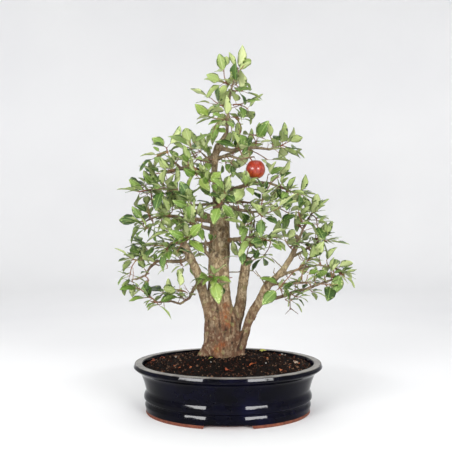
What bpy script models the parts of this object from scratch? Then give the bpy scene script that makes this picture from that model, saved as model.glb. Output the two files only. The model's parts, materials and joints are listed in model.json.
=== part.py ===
"""Crabapple bonsai: a clump-style Malus in an oval glazed pot, with one ripe fruit."""

import math
import random

import bmesh
import bpy
from mathutils import Vector
from mathutils.bvhtree import BVHTree

# Driving dimensions, in metres.
GAP = 0.0003

POT_LENGTH = 0.350
POT_WIDTH = 0.272
POT_HEIGHT = 0.090
OVAL_STEPS = 32
LIP_HEIGHT = 0.009
FOOT_HEIGHT = 0.0065
FLOOR_TOP = 0.016
FOOT_OPENING_TOP = 0.079
FOOT_OPENING_BOTTOM = 0.088
DRAIN_RADIUS = 0.013
DRAIN_OFFSET = 0.070
SCREEN_SIZE = 0.044
SCREEN_THICKNESS = 0.0014
SCREEN_BAR = 0.003

SOIL_EDGE = 0.0830
SOIL_CROWN = 0.1050

FRUIT_RADIUS = 0.0174

LEAF_SHORT = 0.024
LEAF_SMALL = 0.0325
LEAF_LONG = 0.040
BLADE_THICKNESS = 0.0013
TWIG_RADIUS = 0.0015
CLEARANCE = 0.0004
GOLDEN_TURN = math.radians(137.5)

# The tree is laid out on a front elevation whose squares are 1.862 mm. Column
# 228 is the pot's centre line and row 409.7 is the table. A point's depth, in
# millimetres, moves it back along the line of sight of a viewer at EYE_HEIGHT.
SQUARE = 0.001862
CENTRE_COLUMN = 228.0
TABLE_ROW = 409.7
EYE_DISTANCE = 1.17
EYE_HEIGHT = 0.342

draw = random.Random(41)


def clear_scene():
    for old in list(bpy.data.objects):
        bpy.data.objects.remove(old)


def new_collection(name):
    group = bpy.data.collections.new(name)
    bpy.context.scene.collection.children.link(group)
    return group


def spot(column, row, depth):
    """The point seen at a square of the elevation, depth millimetres behind the trunk."""
    back = depth / 1000.0
    spread = (EYE_DISTANCE + back) / EYE_DISTANCE
    x = (column - CENTRE_COLUMN) * SQUARE
    z = (TABLE_ROW - row) * SQUARE
    return Vector((x * spread, back, EYE_HEIGHT + (z - EYE_HEIGHT) * spread))


def material(name, colour, roughness, metallic=0.0):
    found = bpy.data.materials.get(name)
    if found:
        return found
    made = bpy.data.materials.new(name)
    made.use_nodes = True
    shader = made.node_tree.nodes["Principled BSDF"]
    shader.inputs["Base Color"].default_value = (*colour, 1.0)
    shader.inputs["Roughness"].default_value = roughness
    shader.inputs["Metallic"].default_value = metallic
    made.diffuse_color = (*colour, 1.0)
    return made


def add_object(name, mesh, group):
    made = bpy.data.objects.new(name, mesh)
    group.objects.link(made)
    return made


def evaluated_mesh(thing):
    bpy.context.view_layer.update()
    shape = thing.evaluated_get(bpy.context.evaluated_depsgraph_get())
    return bpy.data.meshes.new_from_object(shape)


def weld(mesh, split=False):
    """Joins loose caps. Split faces are alike on a piece and on the hole for it."""
    cage = bmesh.new()
    cage.from_mesh(mesh)
    bmesh.ops.remove_doubles(cage, verts=cage.verts, dist=0.00001)
    bmesh.ops.recalc_face_normals(cage, faces=cage.faces)
    if split:
        bmesh.ops.triangulate(cage, faces=cage.faces, quad_method="FIXED")
    cage.to_mesh(mesh)
    cage.free()
    return mesh


def mesh_from(name, points, faces):
    made = bpy.data.meshes.new(name)
    made.from_pydata([tuple(p) for p in points], [], faces)
    return made


def tree_of(mesh, owner=""):
    """A search tree of a mesh's faces, the sphere that holds them and whose they are."""
    points = [v.co.copy() for v in mesh.vertices]
    faces = [tuple(p.vertices) for p in mesh.polygons]
    middle = sum(points, Vector()) / len(points)
    reach = max((p - middle).length for p in points)
    return BVHTree.FromPolygons(points, faces), middle, reach, owner


def touches(candidate, others, skipped="none"):
    tree, middle, reach, owner = candidate
    for other, place, size, holder in others:
        if holder == skipped or (place - middle).length > size + reach:
            continue
        if tree.overlap(other):
            return True
    return False


def drop_scraps(mesh):
    """Keeps the largest connected body of a joined mesh."""
    cage = bmesh.new()
    cage.from_mesh(mesh)
    waiting = set(cage.verts)
    bodies = []
    while waiting:
        body = {waiting.pop()}
        edge_of_body = list(body)
        while edge_of_body:
            corner = edge_of_body.pop()
            for edge in corner.link_edges:
                other = edge.other_vert(corner)
                if other in waiting:
                    waiting.discard(other)
                    body.add(other)
                    edge_of_body.append(other)
        bodies.append(body)
    for scrap in sorted(bodies, key=len)[:-1]:
        bmesh.ops.delete(cage, geom=list(scrap), context="VERTS")
    cage.to_mesh(mesh)
    cage.free()
    return mesh


def tube(name, path, sides=6, split=False):
    """A limb along (point, radius) pairs: a capped poly curve, as a welded mesh."""
    curve = bpy.data.curves.new(name, "CURVE")
    curve.dimensions = "3D"
    curve.bevel_depth = 1.0
    curve.bevel_resolution = (sides - 4) // 2
    curve.use_fill_caps = True
    spline = curve.splines.new("POLY")
    spline.points.add(len(path) - 1)
    for control, (place, radius) in zip(spline.points, path):
        control.co = (*place, 1.0)
        control.radius = radius
    holder = bpy.data.objects.new(name, curve)
    bpy.context.scene.collection.objects.link(holder)
    mesh = weld(evaluated_mesh(holder), split)
    bpy.data.objects.remove(holder)
    bpy.data.curves.remove(curve)
    return mesh


def union(base, pieces):
    """Joins the pieces' meshes to the base object with one Boolean on a collection."""
    group = new_collection("joined_to_" + base.name)
    for number, mesh in enumerate(pieces):
        add_object(f"{base.name}_piece_{number}", mesh, group)
    join = base.modifiers.new("join", "BOOLEAN")
    join.operation = "UNION"
    join.operand_type = "COLLECTION"
    join.collection = group
    join.solver = "MANIFOLD"
    joined = drop_scraps(evaluated_mesh(base))
    base.modifiers.clear()
    base.data = joined
    for piece in list(group.objects):
        bpy.data.objects.remove(piece)
    bpy.data.collections.remove(group)


def cut(target, tools, solver="EXACT"):
    """Subtracts each cutter object from the target with its own Boolean modifier."""
    for tool in tools:
        tool.hide_render = True
        tool.display_type = "WIRE"
        carve = target.modifiers.new("cut_" + tool.name, "BOOLEAN")
        carve.operation = "DIFFERENCE"
        carve.object = tool
        carve.solver = solver


def turned(name, profile, steps, group, width_ratio=1.0):
    """A closed body turned from a profile of (radius, height) that ends on the axis."""
    outline = bmesh.new()
    rim = [outline.verts.new((radius, 0.0, height)) for radius, height in profile]
    for upper, lower in zip(rim, rim[1:]):
        outline.edges.new((upper, lower))
    mesh = bpy.data.meshes.new(name)
    outline.to_mesh(mesh)
    outline.free()
    made = add_object(name, mesh, group)
    made.scale = (1.0, width_ratio, 1.0)
    screw = made.modifiers.new("turn", "SCREW")
    screw.steps = steps
    screw.render_steps = steps
    screw.use_merge_vertices = True
    screw.merge_threshold = 0.00001
    screw.use_smooth_shade = True
    return made


clear_scene()
parts = new_collection("crabapple_bonsai")
cutters = new_collection("cutters")

glaze = material("pot_glaze", (0.006, 0.009, 0.030), 0.12)
soil_brown = material("potting_soil", (0.060, 0.034, 0.020), 0.95)
screen_black = material("screen_plastic", (0.02, 0.02, 0.02), 0.6)
bark = material("bark", (0.235, 0.180, 0.130), 0.85)
fruit_red = material("fruit_skin", (0.52, 0.035, 0.025), 0.30)
leaf_mature = material("leaf_mature", (0.085, 0.190, 0.035), 0.50)
leaf_pale = material("leaf_pale", (0.240, 0.360, 0.130), 0.60)
leaf_young = material("leaf_young", (0.180, 0.320, 0.040), 0.50)


# The pot: an oval body under a thick lip, on a foot that is open front and back.
length = POT_LENGTH / 2
ratio = POT_WIDTH / POT_LENGTH
lip_under = POT_HEIGHT - LIP_HEIGHT
pot_profile = [
    (0.0, FLOOR_TOP),
    (0.134, FLOOR_TOP),
    (0.1455, 0.0270),
    (0.1485, 0.0530),
    (0.1530, 0.0700),
    (length - 0.0160, POT_HEIGHT),
    (length - 0.0010, POT_HEIGHT),
    (length, POT_HEIGHT - 0.0015),
    (length - 0.0004, lip_under),
    (0.1615, 0.0705),
    (0.1560, 0.0540),
    (0.1536, 0.0280),
    (0.1530, 0.0225),
    (0.1503, 0.0195),
    (0.1503, 0.0120),
    (0.1520, 0.0095),
    (0.1520, 0.0),
    (0.1445, 0.0),
    (0.1430, FOOT_HEIGHT),
    (0.0, FOOT_HEIGHT + 0.0005),
]
pot = turned("pot", pot_profile, OVAL_STEPS, parts, ratio)
pot.data.materials.append(glaze)


def foot_gap():
    """A slot with leaning ends that opens the foot ring at the front and the back."""
    top = FOOT_OPENING_TOP / 2
    bottom = FOOT_OPENING_BOTTOM / 2 + 0.0008
    outline = [
        (-bottom, -0.001),
        (bottom, -0.001),
        (top, FOOT_HEIGHT + 0.0002),
        (-top, FOOT_HEIGHT + 0.0002),
    ]
    flat = bpy.data.curves.new("foot_opening", "CURVE")
    flat.dimensions = "2D"
    flat.fill_mode = "BOTH"
    flat.extrude = POT_WIDTH / 2 + 0.010
    line = flat.splines.new("POLY")
    line.points.add(len(outline) - 1)
    line.use_cyclic_u = True
    for control, (x, z) in zip(line.points, outline):
        control.co = (x, z, 0.0, 1.0)
    holder = bpy.data.objects.new("foot_opening_curve", flat)
    bpy.context.scene.collection.objects.link(holder)
    mesh = weld(evaluated_mesh(holder))
    bpy.data.objects.remove(holder)
    made = add_object("foot_opening", mesh, cutters)
    made.rotation_euler = (math.pi / 2, 0.0, 0.0)
    return made


pot_cutters = [foot_gap()]
for side in (-1, 1):
    bpy.ops.mesh.primitive_cylinder_add(
        vertices=20, radius=DRAIN_RADIUS, depth=0.030, location=(side * DRAIN_OFFSET, 0.0, 0.012)
    )
    drill = bpy.context.object
    drill.name = f"drain_drill_{'left' if side < 0 else 'right'}"
    drill.users_collection[0].objects.unlink(drill)
    cutters.objects.link(drill)
    pot_cutters.append(drill)
cut(pot, pot_cutters)


# Two slotted screens lie on the floor over the drain holes.
def drain_screen(name, x):
    half = SCREEN_SIZE / 2
    slots = 4
    pitch = (SCREEN_SIZE - SCREEN_BAR) / slots
    sheet = bmesh.new()
    marks = [-half]
    for cell in range(slots):
        start = -half + SCREEN_BAR + cell * pitch
        marks += [start, start + pitch - SCREEN_BAR]
    marks.append(half)
    bands = [-half, -half + SCREEN_BAR, half - SCREEN_BAR, half]
    grid = [[sheet.verts.new((u, v, 0.0)) for v in bands] for u in marks]
    for i in range(len(marks) - 1):
        for j in range(len(bands) - 1):
            if i % 2 and j == 1:
                continue
            sheet.faces.new((grid[i][j], grid[i + 1][j], grid[i + 1][j + 1], grid[i][j + 1]))
    bmesh.ops.dissolve_limit(sheet, angle_limit=0.01, verts=sheet.verts, edges=sheet.edges)
    mesh = bpy.data.meshes.new(name)
    sheet.to_mesh(mesh)
    sheet.free()
    made = add_object(name, mesh, parts)
    made.location = (x, 0.0, FLOOR_TOP + GAP)
    thick = made.modifiers.new("sheet", "SOLIDIFY")
    thick.thickness = SCREEN_THICKNESS
    thick.offset = 1.0
    made.data.materials.append(screen_black)
    return made


screen_left = drain_screen("drain_screen_left", -DRAIN_OFFSET)
screen_right = drain_screen("drain_screen_right", DRAIN_OFFSET)


# The soil fills the pot and rises to the trunk.
soil_profile = [
    (0.0, SOIL_CROWN + 0.001),
    (0.035, SOIL_CROWN),
    (0.065, 0.1012),
    (0.095, 0.0957),
    (0.125, 0.0893),
    (0.1555, SOIL_EDGE),
    (0.1524, 0.0700),
    (0.1480, 0.0530),
    (0.1450, 0.0274),
    (0.1336, FLOOR_TOP + GAP),
    (0.0, FLOOR_TOP + GAP),
]
soil = turned("soil", soil_profile, OVAL_STEPS, parts, ratio)
soil.data.materials.append(soil_brown)
soil.data = weld(evaluated_mesh(soil))
soil.modifiers.clear()
for vertex in soil.data.vertices:
    x, y, z = vertex.co
    reach = math.hypot(x, y) / 0.155
    if z > SOIL_EDGE - 0.001 and reach < 0.97:
        roll = math.sin(61.0 * x + 1.3) * math.cos(73.0 * y - 0.6) + 0.6 * math.sin(147.0 * x - 119.0 * y)
        vertex.co.z = z + 0.0016 * roll * (1.0 - reach**6)
for x in (-DRAIN_OFFSET, DRAIN_OFFSET):
    bpy.ops.mesh.primitive_cube_add(size=1.0, location=(x, 0.0, FLOOR_TOP + 0.0006))
    pocket = bpy.context.object
    pocket.name = f"screen_pocket_{'left' if x < 0 else 'right'}"
    wide = SCREEN_SIZE + 2 * GAP
    pocket.dimensions = (wide, wide, 2 * (SCREEN_THICKNESS + GAP))
    pocket.users_collection[0].objects.unlink(pocket)
    cutters.objects.link(pocket)
soil.scale = (1.0, ratio, 1.0)


# The wood. Rings of the trunk: column, row, half width in squares, depth in mm.
TRUNK_SIDES = 12
trunk_rings = [
    (222.6, 381.0, 15.0, 0),
    (222.6, 366.0, 19.0, 0),
    (222.0, 356.5, 21.4, 0),
    (222.8, 345.0, 20.0, 0),
    (222.3, 331.0, 18.6, 0),
    (221.0, 317.0, 16.6, 1),
    (218.8, 303.0, 13.4, 2),
    (218.9, 288.0, 11.0, 3),
    (218.8, 265.0, 11.1, 4),
    (219.5, 245.0, 11.0, 5),
    (220.1, 226.0, 10.7, 5),
    (219.9, 217.5, 9.6, 5),
    (218.0, 212.5, 7.0, 5),
]


def trunk_mesh(extra=0.0):
    """A loft through fluted rings, up to the cut shoulder."""
    points = []
    faces = []
    count = TRUNK_SIDES
    for level, (column, row, half, depth) in enumerate(trunk_rings):
        middle = spot(column, row, depth)
        radius = half * SQUARE
        flute = 0.075 if level > 1 else 0.0
        for side in range(count):
            turn = 2 * math.pi * side / count
            swell = 1.0 + flute * math.cos(5 * turn + 0.35 * level) - flute * 0.5
            swell += flute * 0.5 * math.sin(3 * turn - 0.5 * level)
            x = middle.x + (radius * swell + extra) * math.cos(turn)
            y = middle.y + (radius * swell * 0.86 + extra) * math.sin(turn)
            points.append(Vector((x, y, middle.z - (extra if level == 0 else 0.0))))
    for level in range(len(trunk_rings) - 1):
        for side in range(count):
            a = level * count + side
            b = level * count + (side + 1) % count
            faces.append((a, b, b + count, a + count))
    faces.append(tuple(reversed(range(count))))
    top = (len(trunk_rings) - 1) * count
    faces.append(tuple(range(top, top + count)))
    return weld(mesh_from("trunk", points, faces), split=True)


# Stems, boughs and branches: column, row, depth in mm, radius in mm.
limbs = {
    "leader": [
        (218.6, 222, 5, 12.0), (216.6, 208, 5, 7.6), (215.6, 190, 3, 6.0), (214.3, 172, 1, 6.1),
        (215.7, 154, 0, 7.0), (218.8, 146, 0, 8.2), (222, 140, 0, 4.6), (227, 132, 0, 3.5),
        (228, 113.5, 0, 3.0), (229.5, 98, 0, 2.6), (232, 86, 0, 2.1), (236, 74, 0, 1.7),
    ],
    "stem_left": [
        (211, 318, -4, 12.0), (204.5, 296, -12, 10.0), (198.5, 275, -17, 9.0),
        (190.5, 258, -19, 8.2), (184.9, 246, -19, 7.4), (181.5, 240, -19, 6.0),
    ],
    "stem_middle": [
        (233, 334, 6, 13.0), (238.5, 314, 6, 11.6), (241.2, 300, 4, 10.8), (242.2, 288, 2, 10.2),
        (244.2, 276, 0, 10.0), (245.4, 265, 0, 9.8), (248.5, 257, 0, 7.0),
    ],
    "stem_right": [
        (237, 352, -8, 13.0), (244.5, 336, -14, 9.6), (247.2, 325, -16, 8.4), (252.5, 312, -19, 9.0),
        (260, 301, -22, 9.2), (265.5, 289, -24, 9.0), (268.5, 283, -24, 8.0), (276, 277.5, -22, 6.4),
        (283.5, 269, -20, 6.0), (291, 257.7, -16, 5.6), (294.5, 250, -12, 5.0),
        (298.4, 241.6, -9, 4.2), (295.7, 234.5, -6, 3.4),
    ],
    "root_left": [(212, 344, -8, 15.0), (203.5, 356, -14, 11.0), (197, 366, -18, 8.0)],
    "root_right": [(234, 350, -10, 14.0), (243.5, 360, -16, 8.5), (248.5, 369, -20, 6.0)],
    "root_front": [(222, 346, -14, 15.0), (219, 358, -27, 12.0), (217, 368, -33, 8.0)],
    "root_back": [(224, 346, 14, 15.0), (228, 358, 28, 12.0), (230, 368, 34, 8.0)],
    "bough_droop": [
        (190, 257, -19, 4.6), (181.6, 261.5, -20, 4.4), (170, 261.5, -16, 4.0), (157.5, 261, -9, 3.6),
        (149.8, 267.5, -6, 3.2), (145.5, 275.5, -4, 2.8), (137, 279, -2, 2.5), (131, 279.8, 0, 2.1),
    ],
    "bough_droop_tip": [(156, 262, -8, 2.8), (148.8, 257.5, -6, 2.5), (140, 260.5, -3, 2.0)],
    "branch_knot": [(183, 243, -19, 4.6), (171.4, 243, -34, 3.6), (165, 251, -48, 2.4)],
    "bough_low_left": [
        (200.5, 281, -16, 4.6), (195, 286.5, -17, 3.8), (189, 298.3, -17, 3.4), (180, 304, -15, 3.0),
        (171.4, 301.3, -12, 2.8), (157, 302.3, -7, 2.4), (150, 301.7, -5, 2.0),
    ],
    "bough_low_right": [
        (263, 300, -23, 5.0), (271.6, 299.5, -23, 3.9), (286, 295.4, -19, 3.7), (296, 291.3, -15, 3.5),
        (306.3, 289.3, -11, 3.2), (314, 286, -8, 3.0), (327, 281.4, -3, 2.6), (337.3, 278.4, 0, 2.2),
    ],
    "branch_right_a": [
        (268, 286, -24, 4.4), (277, 284, -26, 3.4), (291, 284, -30, 3.2), (300, 283, -26, 2.8),
        (311.4, 282, -18, 2.3),
    ],
    "branch_right_b": [
        (276, 278, -22, 4.0), (290, 272, -20, 3.2), (303, 268, -20, 2.8), (318, 265, -10, 2.4),
        (330, 267, 0, 2.0),
    ],
    "branch_right_c": [
        (291, 257.7, -16, 3.8), (302, 252, 0, 3.0), (312, 246, 6, 2.6), (320, 242, 2, 2.1),
    ],
    "branch_right_d": [
        (298.2, 242, -9, 3.6), (303, 229, 0, 2.9), (308, 219, 8, 2.6), (312, 214, 6, 2.1),
    ],
    "spur_hanging": [(289.5, 295, -18, 1.9), (290.4, 309, -18, 1.7), (285, 314.8, -18, 1.3)],
    "spur_hanging_fork": [(290.2, 308, -18, 1.5), (298.7, 314.5, -18, 1.2)],
    "stub_right": [
        (225, 241, 0, 7.0), (233, 240, -12, 5.2), (242, 238.4, -26, 4.2), (252.7, 237, -44, 3.2),
    ],
    "stub_right_up": [(250, 237.6, -40, 2.8), (254.6, 221, -44, 2.2), (252.6, 214, -46, 1.9)],
    "branch_shoulder": [
        (222, 213, 0, 5.5), (232.6, 208, -16, 4.2), (241.6, 210.3, -30, 3.4), (252, 212, -46, 2.6),
        (263, 211.5, -58, 2.1),
    ],
    "bough_left": [
        (214, 219, 0, 7.0), (203.6, 214, -2, 5.0), (194.8, 211, -4, 4.6), (184.7, 208, -4, 4.0),
        (179.6, 200.8, -6, 3.6), (177.6, 191.6, -14, 3.2), (168, 189, -16, 2.8), (153, 189, 0, 2.4),
        (144, 191, 6, 2.0),
    ],
    "bough_left_low": [
        (212, 221, -4, 5.5), (191.8, 219, -26, 4.0), (179.6, 217.5, -38, 3.4), (169, 215.5, -34, 3.0),
        (156, 216.5, -14, 2.6), (147, 220.5, -2, 2.2),
    ],
    "stub_dark": [(212, 258, -5, 5.0), (204.4, 251, -14, 4.2), (206, 240, -16, 3.0)],
    "bough_high_left": [
        (213, 177, 0, 6.0), (206.5, 173.6, -8, 5.8), (196.5, 170.2, -20, 5.4), (186.4, 167.3, -26, 4.8),
        (178.4, 169.4, -22, 3.8), (168.8, 172.4, -10, 2.8), (160, 173.5, 0, 2.2),
    ],
    "branch_high_left": [
        (181, 168.4, -22, 3.6), (173, 161, -10, 2.8), (168.5, 155.5, -2, 2.3),
    ],
    "branch_crown_left": [
        (213, 156, 0, 4.4), (202, 160.5, -16, 3.4), (195.5, 158, -24, 2.8), (192, 152, -28, 2.2),
    ],
    "bough_high_right": [
        (219, 148, 0, 5.6), (232, 150.5, -14, 4.2), (244, 148.2, -14, 3.6), (257, 147.7, -6, 3.2),
        (269.4, 149.3, 2, 2.8), (278, 147.6, 2, 2.2),
    ],
    "branch_fruit": [
        (216, 158, -2, 4.4), (229, 155.6, -20, 3.4), (241, 159.2, -36, 2.8), (250.5, 157.2, -46, 2.4),
        (254.4, 156.6, -48.2, 1.8),
    ],
    "bough_right": [
        (216, 192, 0, 5.4), (230, 189.5, -16, 4.2), (245, 185.5, -24, 3.6), (258.6, 182.4, -18, 3.2),
        (269, 183, -8, 2.8), (282, 187.5, -4, 2.5), (292, 192, 0, 2.1),
    ],
    "bough_back_low": [(222, 252, 12, 7.0), (224, 244, 46, 5.2), (222, 238, 74, 4.0)],
    "branch_back_low_left": [(223, 242, 56, 4.8), (202, 244, 84, 3.4), (186, 247, 98, 2.3)],
    "branch_back_low_right": [(222.6, 240, 64, 4.8), (246, 240, 90, 3.4), (266, 238, 104, 2.3)],
    "bough_back": [(217, 208, 6, 6.0), (219, 201, 46, 4.6), (221, 195, 74, 3.2), (222, 191, 94, 2.4)],
    "branch_back_left": [(219, 203, 36, 4.6), (200, 205, 68, 3.2), (184, 205, 88, 2.3)],
    "branch_back_right": [(219, 201, 44, 4.6), (243, 202, 74, 3.2), (260, 204, 92, 2.3)],
    "branch_back_high": [(216, 160, 0, 4.6), (226, 155, 38, 3.4), (240, 150, 66, 2.3)],
    "branch_back_high_left": [(214.5, 164, 2, 4.0), (206, 157, 34, 3.0), (202, 153, 56, 2.2)],
    "branch_front": [(217.5, 214, -4, 5.0), (220, 208, -36, 3.6), (222, 202, -66, 2.4)],
    "branch_front_left": [(215, 230, -4, 5.0), (203, 227, -42, 3.8), (195, 228, -76, 2.4)],
    "branch_front_low": [(182.5, 243, -22, 4.8), (183, 241, -56, 3.4), (185, 239, -82, 2.3)],
    "spur_trunk": [(217, 284, -12, 4.2), (215.5, 281, -40, 2.4)],
    "spur_leader": [(214.6, 178, 0, 3.8), (211, 180, -24, 2.8), (209.5, 182, -40, 2.2)],
}


BURIED = ("root_left", "root_right", "root_front", "root_back", "stem_right")


def limb_path(points, extra=0.0):
    """World points and radii of a limb, swollen and lengthened by extra for a hole."""
    path = [(spot(column, row, depth), radius / 1000.0 + extra) for column, row, depth, radius in points]
    for end, inner in ((0, 1), (-1, -2)):
        outward = (path[end][0] - path[inner][0]).normalized()
        path[end] = (path[end][0] + outward * extra, path[end][1])
    return path


wood = add_object("trunk", trunk_mesh(), parts)
wood.data.materials.append(bark)
limb_meshes = {}
for name, points in limbs.items():
    sides = 8 if points[0][3] >= 9.0 else 6 if points[0][3] > 4.7 else 4
    limb_meshes[name] = tube(name, limb_path(points), sides, split=name in BURIED)
obstacles = [tree_of(wood.data)]
obstacles += [tree_of(mesh) for mesh in limb_meshes.values()]

# The soil has a plain hole for the trunk's foot and its roots.
root_hole = add_object("root_hole", trunk_mesh(GAP), cutters)
union(root_hole, [tube(name, limb_path(limbs[name], GAP), 8, split=True) for name in BURIED])
pockets = [piece for piece in cutters.objects if piece.name.startswith("screen_pocket")]
cut(soil, pockets)
cut(soil, [root_hole], "MANIFOLD")


# The one fruit hangs in front of the crown on a short stalk.
fruit_place = spot(255.4, 169.2, -50)
fruit_profile = [
    (0.0, 0.66), (0.14, 0.68), (0.46, 0.92), (0.72, 0.79), (0.92, 0.44), (1.0, 0.02),
    (0.92, -0.42), (0.70, -0.77), (0.34, -0.94), (0.0, -0.84),
]
fruit = turned(
    "fruit", [(r * FRUIT_RADIUS, z * FRUIT_RADIUS) for r, z in fruit_profile], 16, parts
)
fruit.location = fruit_place
fruit.data.materials.append(fruit_red)
fruit_shape = evaluated_mesh(fruit)
fruit_shape.transform(fruit.matrix_world)
obstacles.append(tree_of(fruit_shape))

stalk_foot = fruit_place + Vector((0.0, 0.0, 0.68 * FRUIT_RADIUS + GAP))
stalk_top = spot(254.2, 156.4, -48)
stalk = [
    (stalk_top, 0.0012),
    (stalk_top.lerp(stalk_foot, 0.5) + Vector((0.0008, 0.0, 0.0)), 0.0010),
    (stalk_foot + Vector((0.0, 0.0, 0.0012)), 0.0010),
    (stalk_foot, 0.0011),
]
wood_pieces = list(limb_meshes.values()) + [tube("stalk", stalk, 6)]


# Leafy sprays. Each is a twig to its first tip with forks to the others, and each
# tip holds a whorl of leaves: column, row, depth in mm, number of leaves.
sprays = {
    "crown_tip": ("young", [(237, 69, 2, 5), (242, 78, 10, 3)]),
    "crown_left": ("pale", [(223, 82, -16, 5), (224, 70, 4, 3)]),
    "crown_right": ("mature", [(243, 91, -10, 4), (236, 84, -26, 3)]),
    "crown_back": ("mature", [(232, 88, 32, 5)]),
    "upper_left": ("mature", [(214, 104, -16, 5), (211, 98, 12, 2)]),
    "upper_right": ("mature", [(243, 104, -16, 5), (248, 109, 18, 3)]),
    "upper_left_low": ("young", [(210, 117, -20, 5), (214, 130, -34, 3)]),
    "upper_right_low": ("mature", [(240, 119, 16, 5), (240, 133, -24, 3)]),
    "upper_back": ("mature", [(226, 112, 48, 4), (232, 130, 62, 4)]),
    "upper_front": ("mature", [(225, 119, -46, 4)]),
    "high_left_pale": ("pale", [(190, 143, -40, 4), (184, 153, 12, 3)]),
    "high_left_outer": ("mature", [(166, 147, 12, 4), (156, 157, -8, 4)]),
    "high_left_dark": ("mature", [(168, 170, -46, 4), (154, 174, 18, 3)]),
    "high_left_narrow": ("young", [(190, 163, -56, 4), (197, 176, -58, 3)]),
    "high_centre": ("young", [(208, 184, -62, 5)]),
    "high_centre_right": ("mature", [(238, 147, -54, 4)]),
    "high_right": ("mature", [(257, 140, -18, 4), (250, 134, 20, 3)]),
    "high_right_mid": ("mature", [(271, 138, 26, 4), (272, 158, -22, 3)]),
    "high_right_outer": ("mature", [(286, 142, -6, 5), (290, 149, 14, 3)]),
    "high_back_left": ("mature", [(198, 150, 72, 5), (180, 160, 52, 3)]),
    "high_back_right": ("mature", [(250, 146, 78, 5), (268, 160, 58, 3)]),
    "mid_left_outer": ("mature", [(138, 192, -4, 4), (146, 185, 26, 4)]),
    "mid_left_upper": ("mature", [(162, 188, -48, 4), (178, 190, -44, 3)]),
    "mid_left_centre": ("mature", [(152, 206, 34, 4), (160, 196, 54, 3)]),
    "mid_left_inner": ("mature", [(190, 200, -76, 4)]),
    "mid_left_front": ("young", [(167, 216, -68, 5)]),
    "mid_left_low": ("mature", [(140, 222, 8, 4), (147, 229, -28, 3)]),
    "mid_left_bright": ("pale", [(169, 230, -86, 4)]),
    "mid_left_deep": ("mature", [(190, 223, -98, 4)]),
    "mid_centre": ("mature", [(225, 193, -88, 4), (219, 206, -88, 3)]),
    "mid_right_inner": ("pale", [(246, 187, -64, 5)]),
    "mid_right_upper": ("mature", [(262, 193, -52, 4), (277, 177, 22, 3)]),
    "mid_right_outer": ("mature", [(288, 192, -34, 4), (302, 195, 12, 4)]),
    "mid_right_front": ("mature", [(263, 217, -84, 4), (279, 208, -62, 3)]),
    "mid_right_centre": ("mature", [(298, 212, -38, 4), (304, 214, 30, 4)]),
    "mid_right_far": ("mature", [(315, 210, 8, 5), (317, 226, -16, 4)]),
    "mid_right_hanging": ("pale", [(246, 226, -66, 4), (249, 242, -62, 3)]),
    "mid_back_left": ("mature", [(174, 203, 98, 4), (186, 218, 112, 3)]),
    "mid_back_centre": ("mature", [(222, 186, 112, 5), (236, 170, 90, 3)]),
    "mid_back_right": ("mature", [(272, 202, 102, 4), (290, 214, 84, 3)]),
    "low_left_upper": ("mature", [(153, 246, -40, 4), (141, 244, 14, 4)]),
    "low_left_outer": ("mature", [(131, 259, 0, 4), (130, 276, 8, 3)]),
    "low_left_inner": ("mature", [(168, 250, -62, 4)]),
    "low_left_tip": ("young", [(147, 297, -8, 3), (138, 288, 8, 3), (158, 304, -18, 2)]),
    "low_left_bough": ("mature", [(178, 290, -44, 3), (163, 293, 6, 3)]),
    "low_front": ("young", [(188, 238, -104, 4)]),
    "trunk_front": ("young", [(215, 277, -64, 5)]),
    "low_right_inner": ("mature", [(269, 241, -76, 4)]),
    "low_right_upper": ("mature", [(285, 240, -52, 3), (302, 243, 22, 4)]),
    "low_right_outer": ("mature", [(316, 238, 10, 4), (326, 241, -10, 4)]),
    "low_right_front": ("mature", [(309, 259, -38, 4), (279, 288, -56, 3)]),
    "low_right_tip": ("mature", [(338, 269, 2, 4), (344, 276, -6, 3), (330, 288, -6, 2)]),
    "low_back_left": ("mature", [(176, 247, 106, 4), (194, 262, 92, 3)]),
    "low_back_right": ("mature", [(278, 238, 112, 4), (262, 258, 100, 3)]),
}
leaf_materials = {"mature": leaf_mature, "pale": leaf_pale, "young": leaf_young}


def skeleton_points():
    """Points along every limb, with the limb's direction and radius there."""
    found = []
    chains = [limb_path(points) for name, points in limbs.items() if "root" not in name]
    for chain in chains:
        for (a, radius_a), (b, radius_b) in zip(chain[1:], chain[2:]):
            steps = max(1, int((b - a).length / 0.004))
            for step in range(steps + 1):
                part = step / steps
                end = b is chain[-1][0] and step == steps
                found.append((a.lerp(b, part), (b - a).normalized(), radius_a + (radius_b - radius_a) * part, end))
    return found


def curved(start, heading, finish, bow):
    """Points of a twig that leaves along its heading and bends to its tip."""
    reach = (finish - start).length
    middle = start + heading * reach * 0.5 + bow * reach
    bend = start.lerp(middle, 0.5).lerp(middle.lerp(finish, 0.5), 0.5)
    return [start, bend, finish]


def jitter(size):
    return Vector([draw.uniform(-size, size) for axis in range(3)])


def seat_on(limb, tip):
    """The end of a short spur on a limb, and the direction in which it points."""
    place, along, radius, end = limb
    toward = (tip - place).normalized()
    if not end:
        across = toward - along * toward.dot(along)
        across.normalize()
        if toward.angle(across) > math.radians(50):
            toward = (across * 0.8 + along * math.copysign(0.6, toward.dot(along))).normalized()
    slope = max(0.5, math.sqrt(max(0.0, 1.0 - toward.dot(along) ** 2)))
    reach = 0.0035 if end else radius / slope + 0.0045
    return place + toward * reach, toward


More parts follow.
